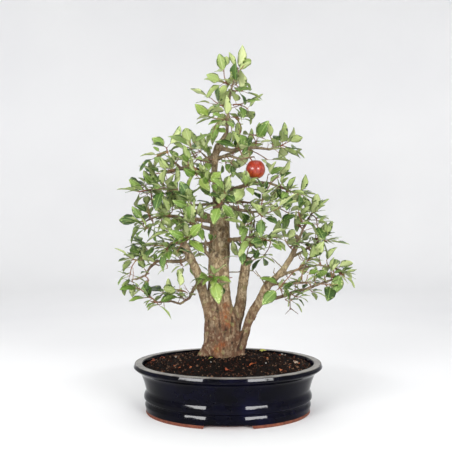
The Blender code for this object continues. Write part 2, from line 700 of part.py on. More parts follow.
def grow_main_twig(target):
    """A twig to the target from a spur on the nearest limb that leaves it a clear way."""
    near = sorted(skeleton, key=lambda limb: (limb[0] - target).length)
    for attempt in range(160):
        limb = near[attempt // 8 * 3]
        tip = target + jitter(0.0004 * (attempt % 8))
        if (tip - limb[0]).length < 0.012:
            continue
        seat, heading = seat_on(limb, tip)
        start = seat + heading * GAP
        path = curved(start, heading, tip, jitter(0.10) + Vector((0, 0, 0.05)))
        tilt = heading.cross((path[1] - start).normalized()).length
        path[0] = start + heading * TWIG_RADIUS * tilt
        twig = list(zip(path, (TWIG_RADIUS, 0.0014, 0.0012)))
        probe = [(seat - heading * 0.0025, 0.0024)]
        probe += [(place, radius + CLEARANCE) for place, radius in twig[1:]]
        if not touches(tree_of(tube("probe", probe, 4)), obstacles):
            break
    else:
        print("no clear way to", target)
    return twig, tube("spur", [(limb[0], TWIG_RADIUS * 1.15), (seat, TWIG_RADIUS)], 4)


def grow_fork(main, target):
    """A side twig from the first half of the main twig to the target."""
    first, second = main[0][0], main[1][0]
    for attempt in range(60):
        root = first.lerp(second, draw.uniform(0.3, 0.95))
        way = (target - root).normalized()
        heading = ((second - first).normalized() + way * 1.6).normalized()
        path = curved(root, heading, target + jitter(0.0003 * attempt), jitter(0.06))
        fork = list(zip(path, (0.0012, 0.0012, 0.0011)))
        probe = [(place, radius + CLEARANCE) for place, radius in fork]
        if not touches(tree_of(tube("probe", probe, 4)), obstacles):
            break
    else:
        print("no clear fork to", target)
    return fork


def blade(root, out, up, length, width, petiole, fold, droop, swell=0.0, start=0.0):
    """A pointed leaf folded along its midrib: four-cornered sections and a tip."""
    side = out.cross(up).normalized()
    up = side.cross(out).normalized()
    thick = BLADE_THICKNESS / 2 + swell
    stations = [
        (petiole + length * 0.27, width * 0.46 + swell),
        (petiole + length * 0.64, width * 0.41 + swell),
    ]
    if length < LEAF_SMALL:
        stations = [(petiole + length * 0.42, width * 0.50 + swell)]
    points = [root + out * start]
    faces = []
    for along, half in stations:
        reach = (along - petiole) / length
        centre = root + out * along + up * droop * length * (0.35 * reach - reach * reach)
        lift = up * half * fold
        if len(points) == 1:
            faces += [(0, 2, 1), (0, 3, 2), (0, 4, 3), (0, 1, 4)]
        else:
            left, top, right, low = range(len(points) - 4, len(points))
            faces += [(left, top, left + 4), (top, top + 4, left + 4)]
            faces += [(top, right, right + 4), (top, right + 4, top + 4)]
            faces += [(right, low, right + 4), (low, low + 4, right + 4)]
            faces += [(low, left, left + 4), (low, left + 4, low + 4)]
        points += [
            centre - side * half + lift,
            centre + up * thick,
            centre + side * half + lift,
            centre - up * thick,
        ]
    tip = len(points)
    points.append(root + out * (petiole + length + swell) - up * droop * length * 0.65)
    for corner in range(4):
        faces.append((tip - 4 + corner, tip - 4 + (corner + 1) % 4, tip))
    return points, faces


def leaf_seat(twig, back, turn, spread):
    """A root on the twig's centre line, back from its end, and the leaf's direction."""
    (a, b) = (twig[-2][0], twig[-1][0])
    if back > (b - a).length:
        back -= (b - a).length
        (a, b) = (twig[-3][0], twig[-2][0])
    axis = (b - a).normalized()
    root = b - axis * min(back, (b - a).length)
    first = axis.orthogonal().normalized()
    second = axis.cross(first)
    ring = first * math.cos(turn) + second * math.sin(turn)
    return root, (axis * math.cos(spread) + ring * math.sin(spread)).normalized()


def grow_leaf(twig, back, turn, terminal, owner):
    """A leaf that clears everything else, as a mesh with its search tree, or None."""
    others = obstacles + leaf_trees
    for attempt in range(40):
        spread = math.radians(draw.uniform(8, 30) if terminal else draw.uniform(42, 78))
        root, out = leaf_seat(twig, back, turn, spread)
        out = (out + Vector((0, 0, draw.uniform(-0.12, 0.30)))).normalized()
        outward = Vector((root.x, root.y - 0.01, 0.0)).normalized()
        up = (outward * 0.45 + Vector((0, 0, 1.0)) + jitter(0.55)).normalized()
        if abs(out.dot(up)) > 0.8:
            up = (up + out.orthogonal()).normalized()
        length = draw.uniform(LEAF_SHORT, LEAF_LONG) * (1.0 - 0.005 * attempt)
        form = {
            "length": length,
            "width": length * draw.uniform(0.50, 0.62),
            "petiole": draw.uniform(0.006, 0.011),
            "fold": draw.uniform(0.20, 0.42),
            "droop": draw.uniform(0.05, 0.35),
        }
        swollen = blade(root, out, up, swell=CLEARANCE, **form)
        outer = blade(root, out, up, swell=CLEARANCE, start=0.005, **form)
        whole_tree = tree_of(mesh_from("probe", *swollen), owner)
        outer_tree = tree_of(mesh_from("probe", *outer), owner)
        if not touches(outer_tree, others) and not touches(whole_tree, others, owner):
            return mesh_from("leaf", *blade(root, out, up, **form)), outer_tree
        turn += draw.uniform(-0.6, 0.6)
    return None


def grow_whorl(twig, count, owner):
    """Leaves from the twig's end backwards, each turned from the one before."""
    meshes = []
    turn = draw.uniform(0.0, 2 * math.pi)
    back = 0.0014
    for number in range(count):
        turn += GOLDEN_TURN
        grown = grow_leaf(twig, back, turn, number == 0, owner)
        if grown:
            meshes.append(grown[0])
            leaf_trees.append(grown[1])
            back += 0.0028 + 0.0016 * number
    return meshes


# All twigs grow first, and then the leaves among them.
skeleton = skeleton_points()
twigs_of = {}
for name, (tint, tips) in sprays.items():
    targets = [spot(column, row, depth) for column, row, depth, count in tips]
    main, spur = grow_main_twig(targets[0])
    wood_pieces.append(spur)
    obstacles.append(tree_of(spur))
    twigs = [main] + [grow_fork(main, target) for target in targets[1:]]
    meshes = [tube(name, twig, 4) for twig in twigs]
    obstacles += [tree_of(mesh, name) for mesh in meshes]
    twigs_of[name] = twigs, meshes

leaf_trees = []
for name, (tint, tips) in sprays.items():
    twigs, meshes = twigs_of[name]
    leaves = []
    for (column, row, depth, count), twig in zip(tips, twigs):
        leaves += grow_whorl(twig, count, name)
    spray = add_object("spray_" + name, meshes[0], parts)
    union(spray, meshes[1:] + leaves)
    spray.data.materials.clear()
    spray.data.materials.append(leaf_materials[tint])
print("leaves", len(leaf_trees))

union(wood, wood_pieces)
wood.data.materials.clear()
wood.data.materials.append(bark)


# The part stands with its bounding box centred on the origin, on the table.
bpy.context.view_layer.update()
low = Vector((1.0, 1.0, 1.0))
high = -low
for piece in parts.objects:
    for corner in piece.bound_box:
        place = piece.matrix_world @ Vector(corner)
        low = Vector(map(min, low, place))
        high = Vector(map(max, high, place))
shift = Vector(((low.x + high.x) / 2, (low.y + high.y) / 2, low.z))
for piece in list(parts.objects) + list(cutters.objects):
    piece.location -= shift

for mesh in list(bpy.data.meshes):
    if mesh.users == 0:
        bpy.data.meshes.remove(mesh)
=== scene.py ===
import json
import math
import random

import bmesh
import bpy
import numpy as np
from mathutils import Matrix, Vector, noise
from mathutils.bvhtree import BVHTree
from mathutils.kdtree import KDTree

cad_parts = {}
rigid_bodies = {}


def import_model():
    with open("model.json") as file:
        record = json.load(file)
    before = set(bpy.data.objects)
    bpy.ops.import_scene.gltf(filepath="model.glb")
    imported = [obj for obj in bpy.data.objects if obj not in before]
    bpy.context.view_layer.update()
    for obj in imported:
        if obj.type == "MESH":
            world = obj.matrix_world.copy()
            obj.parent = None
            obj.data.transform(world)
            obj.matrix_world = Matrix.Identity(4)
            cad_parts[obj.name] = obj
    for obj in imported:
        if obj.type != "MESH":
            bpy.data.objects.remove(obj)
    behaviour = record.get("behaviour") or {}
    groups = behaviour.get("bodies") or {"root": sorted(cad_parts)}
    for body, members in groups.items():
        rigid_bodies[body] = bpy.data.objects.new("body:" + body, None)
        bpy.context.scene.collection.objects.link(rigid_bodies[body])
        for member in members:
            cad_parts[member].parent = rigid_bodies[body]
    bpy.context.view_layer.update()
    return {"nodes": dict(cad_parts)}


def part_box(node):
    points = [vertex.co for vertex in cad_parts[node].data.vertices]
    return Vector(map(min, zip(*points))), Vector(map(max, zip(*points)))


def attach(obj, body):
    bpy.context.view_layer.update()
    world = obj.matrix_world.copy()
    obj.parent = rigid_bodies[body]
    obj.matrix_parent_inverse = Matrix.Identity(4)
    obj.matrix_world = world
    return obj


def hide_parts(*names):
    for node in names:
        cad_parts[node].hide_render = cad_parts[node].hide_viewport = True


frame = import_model()
print("frame loaded:", len(frame["nodes"]), "nodes")

scene = bpy.context.scene
mm = 0.001
potLow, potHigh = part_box("pot")
potCentre = Vector(((potLow.x + potHigh.x) / 2, (potLow.y + potHigh.y) / 2, 0.0))

# The tree's elevation is the view of an eye 1.17 m in front of the pot and 0.342 m up. It has
# squares of 1.862 mm: column 228 is over the pot's centre and row 409.7 is the table.
elevation = {"square": 1.862 * mm, "column": 228.0, "row": 409.7, "eye": (-0.0037, -1.17, 0.342)}
lensView = {"middle": 226.0, "squaresAhead": 627.8}  # the same squares, seen through the lens


def elevationPoint(column, row, depth):
    back = depth * mm
    eyeAway, eyeUp = -elevation["eye"][1], elevation["eye"][2]
    widening = (eyeAway + back) / eyeAway
    x = (column - elevation["column"]) * elevation["square"]
    z = (elevation["row"] - row) * elevation["square"]
    return potCentre + Vector((x * widening, back, eyeUp + (z - eyeUp) * widening))


def eyeRay(column, row):
    across, down = ((n - lensView["middle"]) / lensView["squaresAhead"] for n in (column, row))
    return potCentre + Vector(elevation["eye"]), Vector((across, 1.0, -down)).normalized()


def linear(hexColour):
    shares = [int(hexColour[i:i + 2], 16) / 255 for i in (1, 3, 5)]
    return (*[s / 12.92 if s < 0.04045 else ((s + 0.055) / 1.055) ** 2.4 for s in shares], 1.0)


def addNode(tree, kind, links=(), stops=(), give=0, **settings):
    # The links are in the inputs' order, or a dictionary. Text with a # is a colour. What comes
    # back is one of the node's outputs.
    made = tree.nodes.new(kind)
    for key, value in settings.items():
        setattr(made, key, value)
    for key, value in links.items() if isinstance(links, dict) else enumerate(links):
        if isinstance(value, bpy.types.NodeSocket):
            tree.links.new(value, made.inputs[key])
        elif value is not None:
            made.inputs[key].default_value = linear(value) if str(value).startswith("#") else value
    for missing in range(len(stops) - 2):
        made.color_ramp.elements.new(0.5)
    for index, (position, hexColour) in enumerate(stops):
        element = made.color_ramp.elements[index]
        element.position = position
        element.color = linear(hexColour)
    return made.outputs[give]


def newMaterial(name, roughness, specular=0.5):
    made = bpy.data.materials.new(name)
    made.use_nodes = True
    tree = made.node_tree
    shader = tree.nodes["Principled BSDF"]
    shader.inputs["Roughness"].default_value = roughness
    shader.inputs["Specular IOR Level"].default_value = specular
    return made, tree, shader, addNode(tree, "ShaderNodeTexCoord", give="Object")


def laidOver(tree, colour, *layers):
    # Each layer: a pattern, its low and high, the share of the tint at each, and the tint.
    for *pattern, tint in layers:
        share = addNode(tree, "ShaderNodeMapRange", pattern)
        colour = addNode(tree, "ShaderNodeMix", {0: share, 6: colour, 7: tint}, give=2, data_type="RGBA")
    return colour


def endMaterial(tree, shader, colour, height, depth, strength=1.0):
    relief = addNode(tree, "ShaderNodeBump", {"Height": height, "Distance": depth, "Strength": strength})
    tree.links.new(relief, shader.inputs["Normal"])
    tree.links.new(colour, shader.inputs["Base Color"])


def meshObject(name, mesh, collection=None):
    made = bpy.data.objects.new(name, mesh)
    (collection or scene.collection).objects.link(made)
    return made


def meshFrom(name, points, faces, outwards=False):
    mesh = bpy.data.meshes.new(name)
    mesh.from_pydata([tuple(p) for p in points], [], faces)
    if outwards:
        cage = bmesh.new()
        cage.from_mesh(mesh)
        bmesh.ops.recalc_face_normals(cage, faces=cage.faces)
        cage.to_mesh(mesh)
        cage.free()
    mesh.update()
    return mesh


def meshOf(cage, name):
    mesh = bpy.data.meshes.new(name)
    cage.to_mesh(mesh)
    cage.free()
    return mesh


def skinOf(mesh, points):
    return BVHTree.FromPolygons([Vector(p) for p in points], [tuple(p.vertices) for p in mesh.polygons])


def nearTree(places):
    tree = KDTree(len(places))
    for index, place in enumerate(places):
        tree.insert(place, index)
    tree.balance()
    return tree


def setValues(mesh, name, kind, domain, values):
    attribute = mesh.attributes.new(name, kind, domain)
    field = "vector" if kind == "FLOAT_VECTOR" else "value"
    attribute.data.foreach_set(field, np.asarray(values, np.int32 if kind == "INT" else np.float32).ravel())


def vectorsOf(mesh, field):
    flat = np.zeros(len(mesh.vertices) * 3)
    mesh.vertices.foreach_get(field, flat)
    return flat.reshape(-1, 3)


def finishedMesh(thing, name):
    # The object goes, and the mesh that its modifiers make stays.
    bpy.context.view_layer.update()
    graph = bpy.context.evaluated_depsgraph_get()
    mesh = bpy.data.meshes.new_from_object(
        thing.evaluated_get(graph), preserve_all_data_layers=True, depsgraph=graph
    )
    mesh.name = name
    bpy.data.objects.remove(thing)
    return mesh


def subdivided(mesh, name, levels):
    holder = meshObject(name, mesh)
    finer = holder.modifiers.new("finer", "SUBSURF")
    finer.levels = finer.render_levels = levels
    return finishedMesh(holder, name)


def smoothShade(mesh):
    mesh.polygons.foreach_set("use_smooth", [True] * len(mesh.polygons))
    mesh.update()


def finishPiece(mesh, slot, *nodes):
    smoothShade(mesh)
    piece = meshObject(mesh.name, mesh)
    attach(piece, "root")
    if nodes:
        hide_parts(*nodes)


# One node tree scatters small shapes over points. Each point holds its shape's
# number, turn and size, and the parts of a shape get their own materials.
def scatterTree(name, materials):
    tree = bpy.data.node_groups.new(name, "GeometryNodeTree")
    face = tree.interface
    face.new_socket("Points", in_out="INPUT", socket_type="NodeSocketGeometry")
    face.new_socket("Shapes", in_out="INPUT", socket_type="NodeSocketCollection")
    face.new_socket("Size", in_out="INPUT", socket_type="NodeSocketFloat").default_value = 1.0
    face.new_socket("Result", in_out="OUTPUT", socket_type="NodeSocketGeometry")
    given = tree.nodes.new("NodeGroupInput").outputs

    def stored(title, kind):
        links = {"Name": title}
        return addNode(tree, "GeometryNodeInputNamedAttribute", links, data_type=kind)

    turn = addNode(tree, "FunctionNodeEulerToRotation", {"Euler": stored("turn", "FLOAT_VECTOR")})
    links = {0: stored("size", "FLOAT_VECTOR"), "Scale": given["Size"]}
    size = addNode(tree, "ShaderNodeVectorMath", links, operation="SCALE")
    links = {"Collection": given["Shapes"], "Separate Children": True, "Reset Children": True}
    shapes = addNode(tree, "GeometryNodeCollectionInfo", links)
    links = {
        "Points": given["Points"], "Instance": shapes, "Pick Instance": True,
        "Instance Index": stored("shape", "INT"), "Rotation": turn, "Scale": size,
    }
    placed = addNode(tree, "GeometryNodeInstanceOnPoints", links)
    shape = addNode(tree, "GeometryNodeRealizeInstances", (placed,))
    for number, material in enumerate(materials):
        links = {2: stored("part", "INT"), 3: number}
        chosen = addNode(tree, "FunctionNodeCompare", links, data_type="INT", operation="EQUAL")
        links = {"Geometry": shape, "Selection": chosen, "Material": material}
        shape = addNode(tree, "GeometryNodeSetMaterial", links)
    tree.links.new(shape, tree.nodes.new("NodeGroupOutput").inputs["Result"])
    return tree


def scattered(name, tree, shapes, spots):
    # Each spot is (place, shape's number, turn, size, tint).
    places, shapeNumbers, turns, sizes, tints = zip(*spots)
    mesh = meshFrom(name + "_points", places, [])
    setValues(mesh, "shape", "INT", "POINT", shapeNumbers)
    setValues(mesh, "turn", "FLOAT_VECTOR", "POINT", [tuple(turn) for turn in turns])
    setValues(mesh, "size", "FLOAT_VECTOR", "POINT", sizes)
    setValues(mesh, "tint", "FLOAT", "POINT", tints)
    holder = meshObject(name + "_holder", mesh)
    scatter = holder.modifiers.new("scatter", "NODES")
    scatter.node_group = tree
    given = {socket.name: socket.identifier for socket in tree.interface.items_tree}
    scatter[given["Shapes"]] = shapes
    scatter[given["Size"]] = 1.0
    return finishedMesh(holder, name)


def joined(name, meshes):
    box = bpy.data.collections.new("joining")
    parts = [meshObject(f"{name}_{i}", mesh, box) for i, mesh in enumerate(meshes)]
    scene.collection.children.link(box)
    bpy.context.view_layer.update()
    chosen = {"active_object": parts[0], "object": parts[0], "selected_editable_objects": parts}
    with bpy.context.temp_override(**chosen):
        bpy.ops.object.join()
    result = parts[0].data
    bpy.data.objects.remove(parts[0])
    bpy.data.collections.remove(box)
    result.name = name
    return result


# Leaf blades are thin and firm, glossy above and dull, pale and downy below.
leafLook = {
    "mature": ("#19340b", "#395a18", "#748f3e"),
    "young": ("#43651a", "#62802a", "#8c9f4a"),
    "pale": ("#557030", "#778d48", "#a2b06b"),
    "under": ("#869a54", "#a1b06a", "#bcc58c"),
    "sideVeins": 9.0,  # pairs
}


def leafMaterial(name, colours, roughness, veinTint, veinShare):
    made, tree, shader, place = newMaterial(name, roughness)
    known = {"blotch": addNode(tree, "ShaderNodeTexNoise", (place, None, 130.0, 3.0, 0.55))}
    for field in ("along", "across", "tint"):
        known[field] = addNode(tree, "ShaderNodeAttribute", give="Fac", attribute_name=field)
    # Each step works out one more value from those before it. A step without an operation fits
    # its value to a range. Side veins leave the midrib forwards, so they run along minus aside.
    for result, operation, *values in (
        ("patches", "MULTIPLY", "blotch", 0.35), ("shade", "MULTIPLY_ADD", "tint", 0.75, "patches"),
        ("aside", "ABSOLUTE", "across"), ("midrib", "", "aside", 0.035, 0.09, 1, 0),
        ("forward", "MULTIPLY_ADD", "aside", -0.42, "along"),
        ("phase", "MULTIPLY", "forward", leafLook["sideVeins"] * math.tau), ("wave", "SINE", "phase"),
        ("sideVein", "", "wave", 0.80, 1.0, 0.0, 0.55), ("vein", "MAXIMUM", "midrib", "sideVein"),
        ("waveDepth", "MULTIPLY", "wave", -0.5), ("height", "MULTIPLY_ADD", "vein", -0.8, "waveDepth"),
    ):
        links = [known[value] if isinstance(value, str) else value for value in values]
        kind = "ShaderNodeMath" if operation else "ShaderNodeMapRange"
        known[result] = addNode(tree, kind, links, **({"operation": operation} if operation else {}))
    stops = list(zip((0.12, 0.5, 0.95), colours))
    green = addNode(tree, "ShaderNodeValToRGB", (known["shade"],), stops)
    colour = laidOver(tree, green, (known["vein"], 0.0, 1.0, 0.0, veinShare, veinTint))
    endMaterial(tree, shader, colour, known["height"], 0.25 * mm, 0.8)
    return made


def plainMaterial(name, roughness, grain, stops, reliefGrain, depth):
    # A clouded colour and a fine grain. Each grain is (patches per metre, detail).
    made, tree, shader, place = newMaterial(name, roughness)
    cloud, fine = (
        addNode(tree, "ShaderNodeTexNoise", (place, None, perMetre, detail, 0.55))
        for perMetre, detail in (grain, reliefGrain)
    )
    colour = addNode(tree, "ShaderNodeValToRGB", (cloud,), stops)
    endMaterial(tree, shader, colour, fine, depth)
    return made


upperSides = {
    kind: leafMaterial(f"crabapple_leaf_upper_{kind}", leafLook[kind], 0.42, "#a9c36f", 0.45)
    for kind in ("mature", "young", "pale")
}
underSide = leafMaterial("crabapple_leaf_under", leafLook["under"], 0.7, "#c3cf9c", 0.6)
# Young crabapple shoots and leaf stalks: smooth, red-brown where the sun reaches, green below.
shootBark = plainMaterial(
    "crabapple_shoot", 0.55, (55.0, 4.0),
    [(0.25, "#54392a"), (0.45, "#7a4c36"), (0.62, "#866a44"), (0.8, "#8a9050")], (900.0, 3.0), 0.2 * mm,
)

# A leaf is a closed thin lens with toothed edges. Its shapes differ in fold, droop and twist.
leafShape = {
    "stations": (0.0, 0.07, 0.18, 0.31, 0.45, 0.59, 0.73, 0.86, 0.95, 1.0),
    "halfWidths": (0.03, 0.21, 0.38, 0.48, 0.50, 0.455, 0.36, 0.22, 0.10, 0.0),
    "lanes": (-1.0, -0.5, 0.0, 0.5, 1.0),
    "meanRatio": 0.56,
    "thickness": 0.012,  # of the leaf's length, at the midrib
    "tooth": 0.035,
    "folds": (0.16, 0.30, 0.46),
    "droops": (0.04, 0.18, 0.36),
}
leafShapes = bpy.data.collections.new("leaf_shapes")


def addLeafShape(number, fold, droop, twist, wave):
    form = leafShape
    points, faces, parts, along, across = [], [], [], [], []
    lanes = form["lanes"]

    def surface(a, lane, half, layer, toothed):
        edge = abs(lane) == 1.0
        y = lane * half * (1.0 + (form["tooth"] * toothed if edge else 0.0))
        turn = twist * (a - 0.3)
        z = abs(y) * fold * (1.0 - 0.25 * abs(lane)) * form["meanRatio"] * 1.15
        z += droop * (0.35 * a - a * a) + wave * math.sin(11.0 * a + 2.0 * lane) * abs(lane) * 0.022
        z += layer * form["thickness"] * (1.0 - abs(lane)) * 0.5 * math.sin(math.pi * min(0.96, a + 0.1))
        z += y * turn
        return Vector((a, y, z))

    rows = []
    for index, (a, half) in enumerate(zip(form["stations"], form["halfWidths"])):
        toothed = 1.0 if index % 2 else -0.6
        row = {}
        for layer in (1, -1):
            for lane in lanes:
                # The two sides meet at their edges, and the tip is a single corner.
                corner = "tip" if half == 0.0 else lane if abs(lane) == 1.0 else (layer, lane)
                if corner not in row:
                    row[corner] = len(points)
                    points.append(surface(a, lane, half, layer, toothed) if half else surface(a, 0, 0, 0, 0))
                    along.append(a)
                    across.append(lane * half * 2.0)
                row[layer, lane] = row[corner]
        rows.append(row)
    for near, far in zip(rows, rows[1:]):
        for first, second in zip(lanes, lanes[1:]):
            for layer in (1, -1):
                ring = [near[layer, first], far[layer, first], far[layer, second], near[layer, second]]
                ring = [c for i, c in enumerate(ring) if c not in ring[:i]]
                if layer == 1:
                    ring.reverse()
                faces.append(tuple(ring))
                parts.append(0 if layer == 1 else 1)
    # The flat butt of the blade, hidden in its stalk.
    butt = [rows[0][1, lane] for lane in lanes] + [rows[0][-1, lane] for lane in reversed(lanes[1:-1])]
    faces.append(tuple(butt))
    parts.append(1)
    mesh = meshFrom(f"leaf_shape_{number:02d}", points, faces)
    setValues(mesh, "part", "INT", "FACE", parts)
    setValues(mesh, "along", "FLOAT", "POINT", along)
    setValues(mesh, "across", "FLOAT", "POINT", across)
    smoothShade(mesh)
    meshObject(mesh.name, mesh, leafShapes)


for number in range(9):
    addLeafShape(
        number, leafShape["folds"][number % 3], leafShape["droops"][number // 3],
        (0.0, 0.25, -0.22, 0.12, -0.12)[number % 5], 1.0 if number % 2 else -0.8,
    )


# Stalks and twigs are five-sided tubes through (along, aside, up, radius), closed at both ends.
tubeShapes = {
    # A leaf stalk, thicker at both ends and sagging a little.
    "leaf_shape_stalk": ([
        (0, 0, 0, 1.35), (0.3, 0, -0.018, 0.85), (0.7, 0, -0.018, 0.75), (1, 0, 0, 0.95), (1.25, 0, 0, 0.45),
    ],),
    # Bare spurs and twigs taper, bend at their buds and end blunt. One has a side shoot.
    "leaf_shape_twig_a": ([
        (-0.06, 0, 0, 0.075), (0.12, 0.01, 0, 0.055), (0.36, 0.05, 0.03, 0.045), (0.42, 0.055, 0.035, 0.058),
        (0.66, 0.02, 0.10, 0.036), (0.94, -0.04, 0.13, 0.030), (1, -0.045, 0.135, 0.012),
    ], [
        (0.40, 0.05, 0.03, 0.040), (0.55, 0.16, 0, 0.030), (0.74, 0.26, 0.03, 0.024),
        (0.78, 0.28, 0.035, 0.010),
    ]),
    "leaf_shape_twig_b": ([
        (-0.06, 0, 0, 0.085), (0.15, 0, 0.02, 0.060), (0.45, -0.06, 0.05, 0.050), (0.52, -0.065, 0.05, 0.066),
        (0.8, 0, 0.04, 0.042), (0.9, 0.01, 0.04, 0.058), (1, 0.03, 0.05, 0.020),
    ],),
}


def tubeFaces(base, rings, sides):
    faces = []
    for ring in range(rings - 1):
        for corner in range(sides):
            a, b = base + ring * sides + corner, base + ring * sides + (corner + 1) % sides
            faces.append((a, b, b + sides, a + sides))
    end = base + rings * sides
    return faces + [tuple(reversed(range(base, base + sides))), tuple(range(end - sides, end))]


for name, paths in tubeShapes.items():
    points, faces = [], []
    for path in paths:
        base = len(points)
        for x, y, z, radius in path:
            for corner in range(5):
                turn = math.tau * corner / 5
                points.append((x, y + radius * math.cos(turn), z + radius * math.sin(turn)))
        faces += tubeFaces(base, len(path), 5)
    mesh = meshFrom(name, points, faces, outwards=True)
    setValues(mesh, "part", "INT", "FACE", [2] * len(mesh.polygons))
    smoothShade(mesh)
    meshObject(name, mesh, leafShapes)

stalkNumber, twigNumbers = 9, (10, 11)
leafTrees = {
    kind: scatterTree(f"leaves_{kind}", [upperSides[kind], underSide, shootBark]) for kind in upperSides
}
print("leaf shapes ready")

# Each leafy spray: the leaves keep the place, length, width and fold of the
# plain ones, and smaller leaves are added along the shoots.
sprayPlan = {
    "bladeGap": 1.3 * mm, "stalkRadius": 0.55 * mm, "smallLeaves": 10, "crownLeaves": 0,
    "smallLength": (14 * mm, 27 * mm), "smallStalk": (3 * mm, 6 * mm), "apart": 8.5 * mm, "attempts": 90,
    "crownHeights": (0.40, 0.50), "treeMiddle": 0.32,
    # Shares at the plain blade's last section: length beyond it, half width, place along, droop.
    "longBlade": (0.36, 0.41, 0.64, 0.4644), "shortBlade": (0.58, 0.50, 0.42, 0.6206),
}


def weldedCopy(node):
    cage = bmesh.new()
    cage.from_mesh(frame["nodes"][node].data)
    bmesh.ops.remove_doubles(cage, verts=cage.verts, dist=0.00002)
    cage.normal_update()
    return cage


def eulerOf(out, side, up):
    return Matrix((out, side, up)).transposed().to_euler("XYZ")


def plainLeaves(cage):
    # A blade's section has its upper and lower corner just one blade's thickness apart.
    gap = sprayPlan["bladeGap"]
    cage.verts.ensure_lookup_table()
    beside = {v.index: {e.other_vert(v).index for e in v.link_edges} for v in cage.verts}
    tree = nearTree([v.co for v in cage.verts])

    def spot(index):
        return cage.verts[index].co

    ends, innerPairs = [], []
    for vertex in cage.verts:
        for other, away in (found[1:] for found in tree.find_range(vertex.co, gap * 1.02)):
            if other <= vertex.index or abs(away - gap) > 0.006 * mm or other in beside[vertex.index]:
                continue
            shared = beside[vertex.index] & beside[other]
            middle = (vertex.co + spot(other)) / 2
            up = (vertex.co - spot(other)).normalized()
            best = None
            for a in shared:
                for b in shared:
                    across = spot(b) - spot(a)
                    offset = (spot(a) + spot(b)) / 2 - middle
                    level = abs(across.dot(up)) < 0.02 * mm
                    if a < b and level and (offset - up * offset.dot(up)).length < 0.03 * mm:
                        best = (a, b)
            if not best:
                continue
            side = (spot(best[1]) - spot(best[0])).normalized()
            tips = [
                i for i in (shared & beside[best[0]] & beside[best[1]]) - set(best)
                if abs((spot(i) - middle).dot(side)) < 0.05 * mm and (spot(i) - middle).length > 5 * mm
            ]
            if tips:
                ends.append({"pair": (vertex.index, other), "edges": best, "tip": tips[0], "middle": middle})
            else:
                innerPairs.append((vertex.index, other, shared, best))
    leaves, removed = [], set()
    for end in ends:
        first, second = end["pair"]
        middle, tip = end["middle"], spot(end["tip"])
        up = (spot(first) - spot(second)).normalized()
        left, right = (spot(i) for i in end["edges"])
        lift = ((left + right) / 2 - middle).dot(up)
        if lift < 0:
            up, lift = -up, -lift
        side = (right - left).normalized()
        out = side.cross(up).normalized()
        if out.dot(tip - middle) < 0:
            side, out = -side, -out
        up = out.cross(side).normalized()
        half = (right - left).length / 2
        inner = [p for p in innerPairs if set(end["edges"]) <= p[2]]
        reach = (tip - middle).dot(out)
        drop = (middle - tip).dot(up)
        removed |= {first, second, *end["edges"], end["tip"]}
        if inner:
            removed |= {inner[0][0], inner[0][1], *inner[0][3]}
        beyond, wide, share, drooping = sprayPlan["longBlade" if inner else "shortBlade"]
        length, width = reach / beyond, half / wide
        droop = drop / (drooping * length)
        start = middle - out * share * length - up * droop * length * (0.35 * share - share * share)
        leaves.append({
            "start": start, "out": out, "side": side, "up": up, "length": length,
            "width": width, "fold": lift / half, "droop": droop,
        })
    return leaves, removed


def measureStalks(leaves, bark):
    # The stalk starts where the plain leaf meets its shoot, just inside the bark.
    for leaf in leaves:
        away = bark.ray_cast(leaf["start"] + leaf["out"] * 4 * mm, -leaf["out"], 30 * mm)[3]
        leaf["stalk"] = max(3 * mm, min(13 * mm, (away or 12 * mm) - 4 * mm + 0.6 * mm))


def shootMesh(cage, removed):
    bmesh.ops.delete(cage, geom=[cage.verts[i] for i in removed], context="VERTS")
    rims = [e for e in cage.edges if e.is_boundary]
    bmesh.ops.holes_fill(cage, edges=rims, sides=0)
    loose = [v for v in cage.verts if not v.link_faces]
    bmesh.ops.delete(cage, geom=loose, context="VERTS")
    bmesh.ops.triangulate(cage, faces=cage.faces)
    bmesh.ops.recalc_face_normals(cage, faces=cage.faces)
    return meshOf(cage, "shoot")


def leafSpots(leaves, chance):
    spots = []
    for leaf in leaves:
        fold, droop = (
            min(range(3), key=lambda i: abs(leafShape[field + "s"][i] - leaf[field]))
            for field in ("fold", "droop")
        )
        turn = eulerOf(leaf["out"], leaf["side"], leaf["up"])
        tint = chance.random()
        length, stalk, radius = leaf["length"], leaf["stalk"], sprayPlan["stalkRadius"]
        spots.append((leaf["start"], fold + 3 * droop, turn, (length, leaf["width"], length), tint))
        spots.append((leaf["start"] - leaf["out"] * stalk, stalkNumber, turn, (stalk, radius, radius), tint))
    return spots


def leafMiddle(leaf):
    return leaf["start"] + leaf["out"] * leaf["length"] * 0.5


def wandering(chance, reach):
    return Vector([chance.uniform(-reach, reach) for axis in range(3)])


def smallLeaf(place, outward, chance, lengths, stalks):
    wander = wandering(chance, 1)
    out = (outward + wander * 0.55 + Vector((0, 0, 0.25))).normalized()
    up = (Vector((0, 0, 0.75)) + Vector((outward.x, outward.y, 0)) * 0.9 + wander * 0.45).normalized()
    side = up.cross(out)
    side = side.normalized() if side.length > 0.1 else out.orthogonal().normalized()
    up = out.cross(side).normalized()
    length, stalk = chance.uniform(*lengths), chance.uniform(*stalks)
    return {
        "start": place + out * stalk, "out": out, "side": side, "up": up, "length": length, "stalk": stalk,
        "width": length * chance.uniform(0.48, 0.6), "fold": chance.uniform(0.12, 0.5),
        "droop": chance.uniform(0.0, 0.4),
    }


plantCentre = potCentre + Vector((0, 0, sprayPlan["treeMiddle"]))
leafCentres = []
recovered = {}
for node in sorted(frame["nodes"]):
    if not node.startswith("spray_"):
        continue
    cage = weldedCopy(node)
    leaves, removed = plainLeaves(cage)
    shoot = shootMesh(cage, removed)
    measureStalks(leaves, skinOf(shoot, [v.co for v in shoot.vertices]))
    recovered[node] = leaves, shoot
    leafCentres += [leafMiddle(leaf) for leaf in leaves]
print("leaves recovered:", len(leafCentres))

